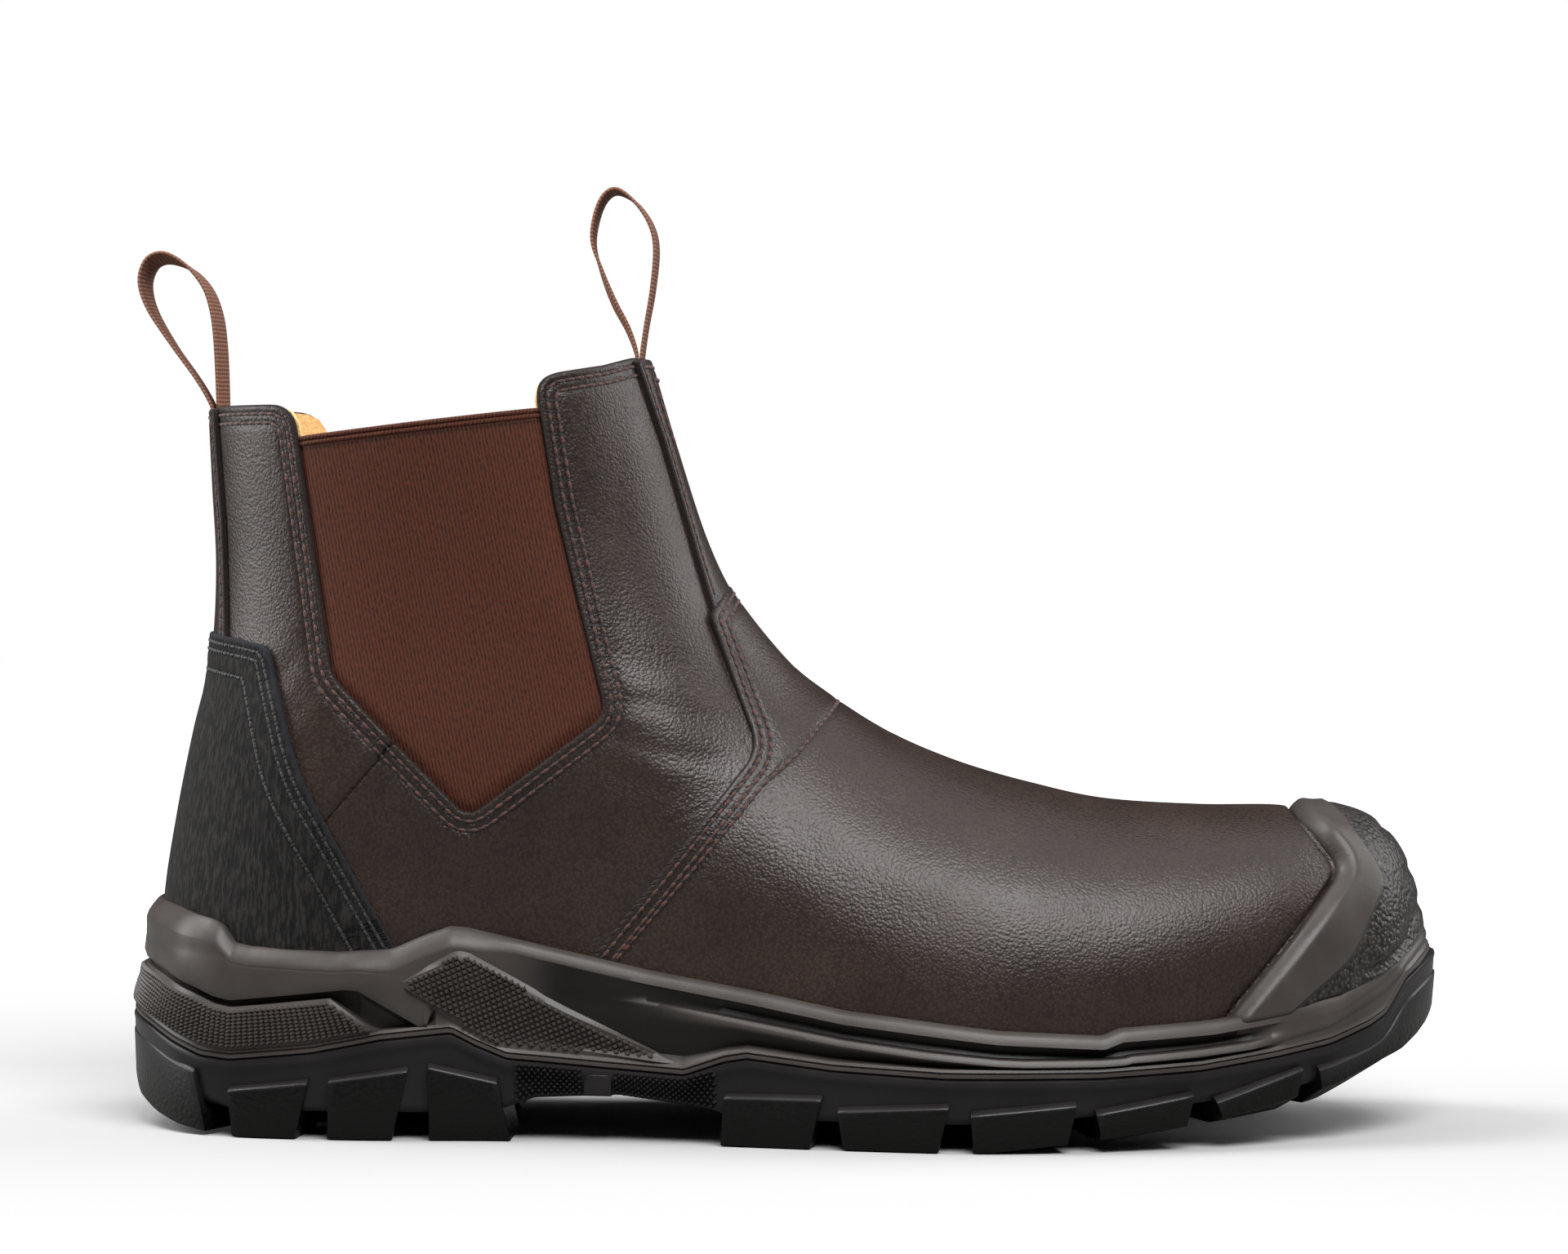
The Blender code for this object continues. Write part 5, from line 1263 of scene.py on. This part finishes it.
def toe_guard():
    """The guard over the toe: rising chamfer at its rear, recessed pebbled crescent, flutes in front."""
    sheet = cut(last, last.inside(GUARD_AREA), GUARD)
    sheet = cut(sheet, sheet.z - along(RIM, sheet.x) + GUARD_TUCK)
    for depth, _ in GUARD_CHAMFER[1:]:
        sheet = cut(sheet, edge_distance(sheet, (GUARD,)) - depth, both=True)
    for depth in CRESCENT_CUTS:
        sheet = cut(sheet, sheet.inside(CRESCENT) - depth, both=True)
    away = edge_distance(sheet, (GUARD,))
    inner = sheet.inside(CRESCENT)
    over = along(GUARD_CHAMFER, away)
    over -= CRESCENT_DEPTH * smoothstep((inner + 0.3) / 0.6)
    over += 1.5 * smoothstep((sheet.x - 126.0) / 10.0) - 1.5 * smoothstep((128.0 - sheet.x) / 6.0) \
        * smoothstep((sheet.z - 66.0) / 6.0)
    for line, deep, wide in TOE_FLUTES:
        near, _ = line_distance(spline(line, 6), sheet.x, sheet.z)
        over -= deep * np.exp(-(near / wide) ** 2)
    front = smoothstep((sheet.x - 113.0) / 8.0)
    under_wall = smoothstep((along(RIM, sheet.x) - 0.5 + 1.4 * front - sheet.z) / (2.5 - 1.0 * front))
    over -= (2.2 + 0.6 * front) * under_wall
    point, faces, values = slab(sheet, over, np.full(len(over), GUARD_UNDER),
                                {"pebble": smoothstep((inner - 0.3) / 0.6) * (1 - under_wall)})
    return (point, faces), values["pebble"]


SCALES = {"midsole": [], "outsole": []}


def lay_scales(key, s, z, out, slope=0.0):
    """Points for the small moulded scales, with the direction they face and run along."""
    place, normal = edge_place(s, out)
    ahead, _ = edge_place(s + 0.5, out)
    up = np.concatenate([normal, np.zeros((len(s), 1))], 1)
    along_edge = np.concatenate([ahead - place, slope * (ahead - place)[:, :1]], 1)
    SCALES[key].append((np.concatenate([place, z[:, None]], 1), along_edge, up))


def staggered(columns, rows):
    """Staggered pattern places in a unit square, as two arrays."""
    i, j = np.meshgrid(np.arange(columns), np.arange(rows))
    u = (i + 0.25 + 0.5 * (j % 2)) / columns
    v = (j + 0.5) / rows
    return u.reshape(-1), v.reshape(-1)


def heel_panel():
    """The textured panel round the heel, bulged between the parting beads and the groove."""
    top_x, low_x = HEEL_PANEL_X

    def spread(u, v):
        """Ring place and height at shares along and across the panel."""
        end_x = low_x + (top_x - low_x) * v
        outer, inner = ring_at(end_x, -1), ring_at(end_x, 1) - RING_COUNT
        s = inner + (outer - inner) * u
        x = edge_x(s)
        low = along(PARTING, x) + 2.1
        top = along(GROOVE, x) - 1.5
        return s, low + (top - low) * v

    u, v = np.meshgrid(np.concatenate([[0, 0.004], np.linspace(0.012, 0.988, 117), [0.996, 1]]),
                       np.concatenate([[0, 0.06], np.linspace(0.14, 0.86, 5), [0.94, 1]]))
    s, z = spread(u, v)
    rim_drop = np.minimum(np.minimum(v, 1 - v) / 0.14, np.minimum(u, 1 - u) / 0.012)
    out = HEEL_PANEL_OUT + HEEL_PANEL_RIM * smoothstep(rim_drop) + HEEL_PANEL_BULGE * 4 * v * (1 - v)
    body = patch(s, z, out - heel_lean(edge_x(s), z))
    u, v = staggered(*HEEL_SCALES)
    kept = (np.minimum(u, 1 - u) > 0.008) & (v > 0.1) & (v < 0.9)
    s, z = spread(u[kept], v[kept])
    lay_scales("midsole", s, z, -0.32 + 2.2 * v[kept] * (1 - v[kept]) - heel_lean(edge_x(s), z))
    return outward(body, np.array(HEEL_PANEL_AT))


def side_panel(side):
    """The raised panel that runs down from the rim to the arch."""
    def at_share(line, share):
        """Points of a line at shares of its length."""
        run = run_length(line)
        return at_length(line, run, share * run[-1])

    def spread(u, v):
        """Ring place and height at shares along and across the panel."""
        low, top = at_share(SIDE_PANEL_LOW, u), at_share(SIDE_PANEL_TOP, u)
        place = low + (top - low) * v[..., None]
        return ring_at(place[..., 0], side), place[..., 1]

    def fade(x):
        """Share of the panel's relief: its tip runs out into the wall."""
        return smoothstep((-24.0 - x) / 7.0)

    def on_panel(s, z):
        """Offset of the wall under the panel."""
        return np.minimum(on_wall(midsole_rows(edge_x(s))[:-4], z), -0.5)

    u, v = np.meshgrid(np.concatenate([[0, 0.012], np.linspace(0.03, 0.97, 60), [0.988, 1]]),
                       np.concatenate([[0, 0.05], np.linspace(0.12, 0.88, 7), [0.95, 1]]))
    s, z = spread(u, v)
    drop = np.minimum(np.minimum(v, 1 - v) / 0.12, np.minimum(u, 1 - u) / 0.03)
    x = edge_x(s)
    out = on_panel(s.reshape(-1), z.reshape(-1)).reshape(s.shape) + smoothstep(drop) * fade(x)
    (rear_x, rear_z), (front_x, front_z) = SIDE_PANEL_TOP[-3], SIDE_PANEL_TOP[-1]
    rise = (front_z - rear_z) / (front_x - rear_x)
    turn = math.atan(rise)
    u, v = staggered(*SIDE_SCALES)
    u, v = ((share - 0.5) * count * pitch for share, count, pitch in zip((u, v), SIDE_SCALES, SCALE_PITCH))
    x_dot = SIDE_SCALES_AT[0] + u * math.cos(turn) - v * math.sin(turn)
    z_dot = SIDE_SCALES_AT[1] + u * math.sin(turn) + v * math.cos(turn)
    outline = [(*corner, 0) for corner in SIDE_PANEL_TOP + SIDE_PANEL_LOW[::-1]]
    kept = (area_field(outline, x_dot, z_dot) > SCALE_MARGIN) & (x_dot < SIDE_SCALES_END)
    s_dot, z_dot = ring_at(x_dot[kept], side), z_dot[kept]
    lay_scales("midsole", s_dot, z_dot, on_panel(s_dot, z_dot) + 0.97 * fade(x_dot[kept]), rise)
    return outward(patch(s, z, out), np.array((x.mean(), 0.0, z.mean())))


wall_rows = midsole_rows(RING_X)
wall = ring_loft(wall_rows)
# Painted shade: the recessed wall rows ahead of the heel get their colour painted darker through "matt"
ahead = smoothstep((RING_X + 64.0) / 14.0) * smoothstep((112.0 - RING_X) / 12.0)
plain = ahead * smoothstep((-12.0 - RING_X) / 26.0)
dull = np.concatenate([WALL_SHADE * (ahead if k in SHADED_ROWS else plain if k in RIB_ROWS else 0 * ahead)
                       for k in range(len(wall_rows))])
guard, pebble = toe_guard()
panels = [heel_panel(), side_panel(-1), side_panel(1)]
point, faces = joined(guard, wall, *panels)
rest = len(point) - len(pebble) - len(dull)
dull = np.concatenate([np.zeros(len(pebble)), dull, np.zeros(rest)])
pebble = np.concatenate([pebble, np.zeros(len(point) - len(pebble))])
piece("midsole_moulding", point, faces, MIDSOLE, {"pebble": pebble, "matt": dull}, sharp=38.0)


def outsole_rows(x):
    """Offsets and heights of the outsole's side from the tread base up to the parting."""
    parting = along(PARTING, x)
    base = np.minimum(along(TREAD_BASE, x), parting - 5.0)
    back = 1.3 * smoothstep((x + 141.0) / 8.0) * smoothstep((132.0 - x) / 10.0)
    return [(-7.0, base), (-1.7 - back, base + 0.1), (-0.9 - back, base + 0.9), (-0.6 - back, base + 2.0),
            (-0.5 - 0.8 * back, np.maximum(parting - 4.2, base + 2.2)),
            (-0.4 - 0.3 * back, np.maximum(parting - 2.6, base + 2.5)), (-0.35, parting - 1.9),
            (-0.15, parting - 1.0), (-0.35, parting - 0.35), (-0.9, parting - 0.1), (-3.5, parting)]


def lug(low_ends, top_ends, top_heights, depth, steps=10, below_parting=None, proud=0.15):
    """One bevelled block of the tread between ring places, its outer face on the sole's edge.

    Returns its points, faces and how far each point shows the mould's grain.
    """
    t = np.linspace(0, 1, steps + 1)
    low_s = low_ends[0] + (low_ends[1] - low_ends[0]) * t
    top_s = top_ends[0] + (top_ends[1] - top_ends[0]) * t
    x_low, x_top = edge_x(low_s), edge_x(top_s)
    floor = along(FLOOR, x_low)
    lift = along(EDGE_LIFT, x_low)
    if below_parting is None:
        top = top_heights[0] + (top_heights[1] - top_heights[0]) * t
    else:
        top = along(PARTING, x_top) - below_parting
    mesh = bmesh.new()
    stations = []
    corners = ((low_s, floor + lift, -0.7), (top_s, top - 1.1, proud), (top_s, top, -1.3),
               (top_s, top + 0.4, -3.2), (top_s, top + 0.4, -depth), (low_s, floor, -depth),
               (low_s, floor, -0.4 * depth))
    for s, z, out in corners:
        stations.append([mesh.verts.new(p) for p in edge_points(s, z, np.full_like(s, out))])
    ring = len(stations)
    for k in range(steps):
        for c in range(ring):
            d = (c + 1) % ring
            mesh.faces.new((stations[c][k], stations[c][k + 1], stations[d][k + 1], stations[d][k]))
    mesh.faces.new([stations[c][0] for c in range(ring)])
    mesh.faces.new([stations[c][-1] for c in reversed(range(ring))])
    bmesh.ops.recalc_face_normals(mesh, faces=mesh.faces)
    mesh.normal_update()
    keen = [edge for edge in mesh.edges
            if len(edge.link_faces) == 2 and edge.calc_face_angle() > math.radians(LUG_KEEN)]
    bmesh.ops.bevel(mesh, geom=keen, offset=LUG_BEVEL, segments=2, profile=0.6, affect="EDGES",
                    clamp_overlap=True)
    point, faces = mesh_body(mesh)
    nearest = np.argmin(np.abs(point[:, :1] - x_top[None, :]), axis=1)
    return point, faces, GRAINED * smoothstep((top[nearest] - 1.3 - point[:, 2]) / 0.4)


def lowest_first(corners):
    """A face's corners in the same turn, from the lowest on."""
    k = corners.index(min(corners))
    return corners[k:] + corners[:k]


def mesh_body(mesh):
    """Points and faces of a working mesh, which is then let go."""
    bmesh.ops.recalc_face_normals(mesh, faces=mesh.faces)
    bmesh.ops.triangulate(mesh, faces=[f for f in mesh.faces if len(f.verts) > 4])
    mesh.verts.index_update()
    point = np.array([v.co for v in mesh.verts])
    triangles, quads = ([[v.index for v in f.verts] for f in mesh.faces if len(f.verts) == sides]
                        for sides in (3, 4))
    # Triangulate leaves its triangles in an order that changes from run to run
    triangles = sorted(lowest_first(corners) for corners in triangles)
    mesh.free()
    return point, [np.array(block) for block in (triangles, quads) if block]


def bevelled_box(low, high, bevel):
    """A bevelled box between two corners."""
    mesh = bmesh.new()
    bmesh.ops.create_cube(mesh, size=1.0)
    low, high = np.array(low), np.array(high)
    for v in mesh.verts:
        v.co = (low + high) / 2 + (high - low) * np.array(v.co)
    bmesh.ops.bevel(mesh, geom=mesh.edges[:], offset=bevel, segments=2, profile=0.6, affect="EDGES")
    return mesh_body(mesh)


bodies = []
for rear_top_x, rear_z, front_top_x, front_z, front_x, rear_x, depth in LUG_FACES:
    for side in (-1, 1):
        bodies.append(lug((ring_at(rear_x, side), ring_at(front_x, side)),
                          (ring_at(rear_top_x, side), ring_at(front_top_x, side)), (rear_z, front_z), depth))
low_ends, top_ends = ((ring_at(x, 1) - RING_COUNT, ring_at(x, -1)) for x in HEEL_LUG_X)
bodies.append(lug(low_ends, top_ends, None, 24.0, steps=END_LUG_STEPS, below_parting=3.4, proud=-0.25))
low_ends, top_ends = ((ring_at(x, -1), ring_at(x, 1)) for x in TOE_LUG_X)
bodies.append(lug(low_ends, top_ends, None, 20.0, steps=END_LUG_STEPS, below_parting=4.2, proud=-0.1))
grain = np.concatenate([body[2] for body in bodies])
bodies = [body[:2] for body in bodies] + [ring_loft(outsole_rows(RING_X))]
for rear_x, front_x in CENTRE_LUGS:
    middle_x = (rear_x + front_x) / 2
    y, low, base = (float(at) for at in (centre_y(middle_x), along(FLOOR, middle_x),
                                         along(TREAD_BASE, middle_x)))
    bodies.append(bevelled_box((rear_x, y - CENTRE_LUG_HALF, low),
                               (front_x, y + CENTRE_LUG_HALF, base + 2.0), CENTRE_LUG_BEVEL))
for side in (-1, 1):
    s = ring_at(np.array(ARCH_PLATE_X), side)
    u, v = np.meshgrid(np.linspace(s[0], s[1], 6), np.array(ARCH_PLATE_Z))
    border = (v == v.min()) | (v == v.max()) | (u == u.min()) | (u == u.max())
    bodies.append(outward(patch(u, v, -0.1 - np.where(border, 0.35, 0.0)), np.array(ARCH_PLATE_AT)))
    u, v = staggered(*ARCH_SCALES)
    s = ring_at(ARCH_SCALES_X[0] + ARCH_SCALES_X[1] * u, side)
    x = edge_x(s)
    low, top = along(TREAD_BASE, x) + 0.6, along(PARTING, x) - 0.5
    z = low + (top - low) * v
    clear = np.abs(x - ARCH_PLATE_AT[0]) > ARCH_CLEAR
    lay_scales("outsole", s[clear], z[clear], on_wall(outsole_rows(x), z)[clear] + 0.05)
point, faces = joined(*bodies)
grain = np.concatenate([grain, np.zeros(len(point) - len(grain))])
# The lug faces' grain value also paints their colour darker through "matt": painted shade
piece("outsole_moulding", point, faces, RUBBER, {"pebble": grain, "matt": LUG_FACE_SHADE * grain}, sharp=38.0)


def footbed():
    """The insole: a cloth board slightly cupped at its edge."""
    t, x = np.meshgrid(np.linspace(-1, 1, 25), np.linspace(-FOOTBED_HALF, FOOTBED_HALF, 90))
    low_y = along(PLAN[-1], x) + FOOTBED_GAP
    high_y = along(PLAN[1], x) - FOOTBED_GAP
    y = (low_y + high_y) / 2 + (high_y - low_y) / 2 * t
    base = along(FEATHER_BY_X, x)
    top = np.stack([x, y, base + FOOTBED_TOP + FOOTBED_CUP * np.abs(t) ** 4], 2)
    low = np.stack([x, y, base + FOOTBED_LOW], 2)
    return outward(plate(top, low), np.zeros(3))


point, faces = footbed()
piece("insole_footbed", point, faces, FOOTBED, sharp=50.0)


# Pull loops

def tape(table):
    """A flat tape carried along a loop, turned about its run by the table's tilt."""
    path = spline(table, 8)
    middle = np.stack([path[:, 0], path[:, 2], path[:, 1]], 1)
    ahead = unit(np.gradient(middle, axis=0))
    tilt = np.radians(path[:, 3])[:, None]
    level = unit(np.array((0.0, 1.0, 0.0)) - ahead * ahead[:, 1:2])
    upright = np.cross(ahead, level)
    across = level * np.cos(tilt) + upright * np.sin(tilt)
    over = np.cross(ahead, across)
    half, thick = TAPE_WIDTH / 2, TAPE_THICK / 2
    face = half - TAPE_CORNER
    upper_face = [(w * half, thick * (1 - 0.1 * w * w)) for w in np.linspace(-0.8, 0.8, 7)]
    lower_face = [(w * half, -thick) for w in np.linspace(0.8, -0.8, 7)]
    section = np.array([(-face, thick), *upper_face, (face, thick), (half, 0.5 * thick),
                        (half, -0.5 * thick), (face, -thick), *lower_face, (-face, -thick),
                        (-half, -0.5 * thick), (-half, 0.5 * thick)])
    rings = middle[:, None] + across[:, None] * section[None, :, :1] + over[:, None] * section[None, :, 1:]
    run = run_length(middle)
    flat = np.stack([np.repeat(run, len(section)), np.tile(section[:, 0], len(run))], 1) * MM
    point, faces = swept(middle, rings)
    return point, faces, flat


for name, table in (("pull_loop_rear_tape", REAR_LOOP), ("pull_loop_front_tape", FRONT_LOOP)):
    point, faces, flat = tape(table)
    piece(name, point, faces, WEBBING, None, flat, sharp=60.0)


# Stitches and moulded scales by Geometry Nodes

def scatter_tree(name, shape):
    """Node tree that sets one small shape on every point, turned to its facing and run, and joins them."""
    tree = bpy.data.node_groups.new(name, "GeometryNodeTree")
    for key, kind in (("Points", "Geometry"), ("Size", "Vector"), ("Unevenness", "Float"),
                      ("Material", "Material")):
        tree.interface.new_socket(key, in_out="INPUT", socket_type="NodeSocket" + kind)
    tree.interface.new_socket("Mesh", in_out="OUTPUT", socket_type="NodeSocketGeometry")
    given = add(tree, "NodeGroupInput").outputs
    facing = add(tree, "GeometryNodeInputNamedAttribute", {"Name": "facing"}, data_type="FLOAT_VECTOR")
    run = add(tree, "GeometryNodeInputNamedAttribute", {"Name": "run"}, data_type="FLOAT_VECTOR")
    stood = add(tree, "FunctionNodeAlignRotationToVector", {"Vector": facing.outputs[0]}, axis="Z")
    turned = add(tree, "FunctionNodeAlignRotationToVector",
                 {"Rotation": stood.outputs[0], "Vector": run.outputs[0]}, axis="X", pivot_axis="Z")
    if shape == "scale":
        form = add(tree, "GeometryNodeMeshCone", {"Vertices": 4, "Radius Top": 0.2, "Radius Bottom": 0.5,
                                                  "Depth": 1.0}, fill_type="NGON")
    else:
        form = add(tree, "GeometryNodeMeshUVSphere", {"Segments": 8, "Rings": 5, "Radius": 0.5})
    spread = add(tree, "FunctionNodeRandomValue", {"Seed": 7}, data_type="FLOAT")
    spread.inputs[2].default_value = -1.0
    uneven = add(tree, "ShaderNodeMath", {0: spread.outputs[1], 1: given["Unevenness"], 2: 1.0},
                 operation="MULTIPLY_ADD")
    size = add(tree, "ShaderNodeVectorMath", {0: given["Size"], "Scale": uneven.outputs[0]},
               operation="SCALE")
    placed = add(tree, "GeometryNodeInstanceOnPoints",
                 {"Points": given["Points"], "Instance": form.outputs[0], "Rotation": turned.outputs[0],
                  "Scale": size.outputs[0]})
    real = add(tree, "GeometryNodeRealizeInstances", {"Geometry": placed.outputs[0]})
    soft = add(tree, "GeometryNodeSetShadeSmooth", {"Geometry": real.outputs[0],
                                                    "Shade Smooth": shape != "scale"})
    dressed = add(tree, "GeometryNodeSetMaterial", {"Geometry": soft.outputs[0],
                                                    "Material": given["Material"]})
    add(tree, "NodeGroupOutput", {0: dressed.outputs[0]})
    return tree


def scattered(name, tree, points, size, unevenness, material):
    """A plain mesh object of the tree's shapes on points given as (place, run, facing) blocks."""
    place, run, facing = (np.vstack([block[k] for block in points]) for k in range(3))
    mesh = bpy.data.meshes.new(name)
    mesh.from_pydata((place + (0.0, AXIS_Y, 0.0)) * MM, [], [])
    for key, value in (("run", run), ("facing", facing)):
        layer = mesh.attributes.new(key, "FLOAT_VECTOR", "POINT")
        layer.data.foreach_set("vector", unit(value).astype(np.float32).reshape(-1))
    obj = bpy.data.objects.new(name, mesh)
    bpy.context.scene.collection.objects.link(obj)
    modifier = obj.modifiers.new("scatter", "NODES")
    modifier.node_group = tree
    wanted = {"Size": tuple(np.array(size) * MM), "Unevenness": unevenness, "Material": material}
    for item in tree.interface.items_tree:
        if item.name in wanted:
            modifier[item.identifier] = wanted[item.name]
    shown = obj.evaluated_get(bpy.context.evaluated_depsgraph_get())
    made = bpy.data.meshes.new_from_object(shown)
    obj.modifiers.clear()
    obj.data = made
    for key in ("run", "facing"):
        if key in made.attributes:
            made.attributes.remove(made.attributes[key])
    return obj


def needle_hole_shade(points):
    """Places of dark blobs at both ends of each stitch: painted shade in the needle holes."""
    holes = []
    for place, run, facing in points:
        for end in (-HOLE_AT, HOLE_AT):
            holes.append((place + unit(run) * end - HOLE_SINK * facing, run, facing))
    return holes


THREAD = scatter_tree("thread_turns", "thread")
SCALE = scatter_tree("moulded_scales", "scale")
scattered("stitches_brown", THREAD, STITCHES["brown"], (2.35, 0.9, 0.7), 0.08, BROWN_THREAD)
scattered("stitches_black", THREAD, STITCHES["black"], (2.0, 0.75, 0.6), 0.10, BLACK_THREAD)
scattered("needle_hole_shade", THREAD, needle_hole_shade(STITCHES["brown"] + STITCHES["black"]), (0.85, 1.0, 0.34),
          0.15, NEEDLE_HOLE)
scattered("midsole_scales", SCALE, SCALES["midsole"], (1.75, 1.5, 0.75), 0.05, MIDSOLE)
scattered("outsole_scales", SCALE, SCALES["outsole"], (1.75, 1.5, 0.7), 0.05, RUBBER)

# Which CAD node each piece stands for, and its material slot
PIECES = [
    ("quarter_rear", "upper", "upper_leather"), ("quarter_front", "upper", "upper_leather"),
    ("vamp", "upper", "upper_leather"), ("lining", "upper", "upper_leather"),
    ("front_strip_leather", "front_strip", "upper_leather"),
    ("back_strip_leather", "back_strip", "upper_leather"),
    ("counter_patch_suede", "counter_patch", "counter_cloth"),
    ("gusset_outer_elastic", "gusset_outer", "elastic"),
    ("gusset_inner_elastic", "gusset_inner", "elastic"), ("midsole_moulding", "midsole", "midsole_pu"),
    ("midsole_scales", "midsole", "midsole_pu"), ("outsole_moulding", "outsole", "outsole_rubber"),
    ("outsole_scales", "outsole", "outsole_rubber"), ("insole_footbed", "insole", "insole_cloth"),
    ("pull_loop_rear_tape", "pull_loop_rear", "tape"), ("pull_loop_front_tape", "pull_loop_front", "tape"),
    ("stitches_brown", "upper", "upper_leather"), ("stitches_black", "counter_patch", "counter_cloth"),
    ("needle_hole_shade", "upper", "upper_leather"),
]
for name, node, slot in PIECES:
    obj = bpy.data.objects[name]
    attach(obj, "root")
    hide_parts(node)

# Stage: pale floor, soft lights, white surroundings, camera at the photograph's place

scene = bpy.context.scene
scene.view_settings.view_transform = "Standard"
paper, _, shader = new_material("matt_grey_paper", 0.9, 1.4)
shader.inputs["Base Color"].default_value = linear("#7d7c7a")
floor_mesh = bpy.data.meshes.new("floor")
FLOOR_HALF, FLOOR_DROP = 4.0, 0.0002
floor_mesh.from_pydata([(x * FLOOR_HALF, y * FLOOR_HALF, -FLOOR_DROP)
                        for x, y in ((-1, -1), (1, -1), (1, 1), (-1, 1))], [], [(0, 1, 2, 3)])
floor_mesh.materials.append(paper)
floor = bpy.data.objects.new("floor", floor_mesh)
scene.collection.objects.link(floor)
floor.is_shadow_catcher = True

world = bpy.data.worlds.new("studio")
scene.world = world
world.use_nodes = True
tree = world.node_tree
dim = tree.nodes["Background"]
WHITE = linear("#ffffff")
dim.inputs["Color"].default_value = WHITE
dim.inputs["Strength"].default_value = 0.05
bright = add(tree, "ShaderNodeBackground", {"Color": WHITE, "Strength": 1.0})
seen = add(tree, "ShaderNodeLightPath")
mixed = add(tree, "ShaderNodeMixShader", {0: seen.outputs["Is Camera Ray"], 1: dim.outputs[0],
                                          2: bright.outputs[0]})
tree.links.new(mixed.outputs[0], tree.nodes["World Output"].inputs["Surface"])

# name, position, aim, width and depth, watts
LIGHTS = [
    ("overhead_softbox", (0.0, 0.4, 1.5), (0.0, 0.0, 0.05), (2.2, 1.0), 8.0),
    ("heel_side_softbox", (-1.35, 0.05, 0.6), (-0.05, 0.0, 0.08), (0.9, 1.1), 18.0),
    ("toe_side_softbox", (1.3, 0.45, 0.75), (0.0, 0.0, 0.08), (0.8, 1.0), 11.0),
    ("heel_top_softbox", (-0.72, -0.07, 1.23), (-0.12, 0.0, 0.06), (0.5, 0.5), 9.0),
    ("front_softbox", (0.3, -0.85, 1.18), (0.05, 0.0, 0.04), (1.0, 0.7), 26.0),
]
for name, position, aim, size, watts in LIGHTS:
    data = bpy.data.lights.new(name, "AREA")
    data.shape = "RECTANGLE"
    data.size, data.size_y = size
    data.energy = watts
    lamp = bpy.data.objects.new(name, data)
    scene.collection.objects.link(lamp)
    lamp.visible_camera = False
    lamp.location = position
    lamp.rotation_euler = (Vector(aim) - Vector(position)).to_track_quat("-Z", "Y").to_euler()

CAMERA_PLACE = (-0.00265, -0.9976, 0.1323)
CAMERA_ROLL = -0.0077
CAMERA_LENS = 97.86
CAMERA_SHIFT = (0.0036, -0.0458)
view = bpy.data.cameras.new("photo_view")
view.lens = CAMERA_LENS
view.shift_x, view.shift_y = CAMERA_SHIFT
camera = bpy.data.objects.new("photo_view", view)
scene.collection.objects.link(camera)
camera.location = CAMERA_PLACE
camera.rotation_euler = (math.pi / 2, CAMERA_ROLL, 0.0)
scene.camera = camera
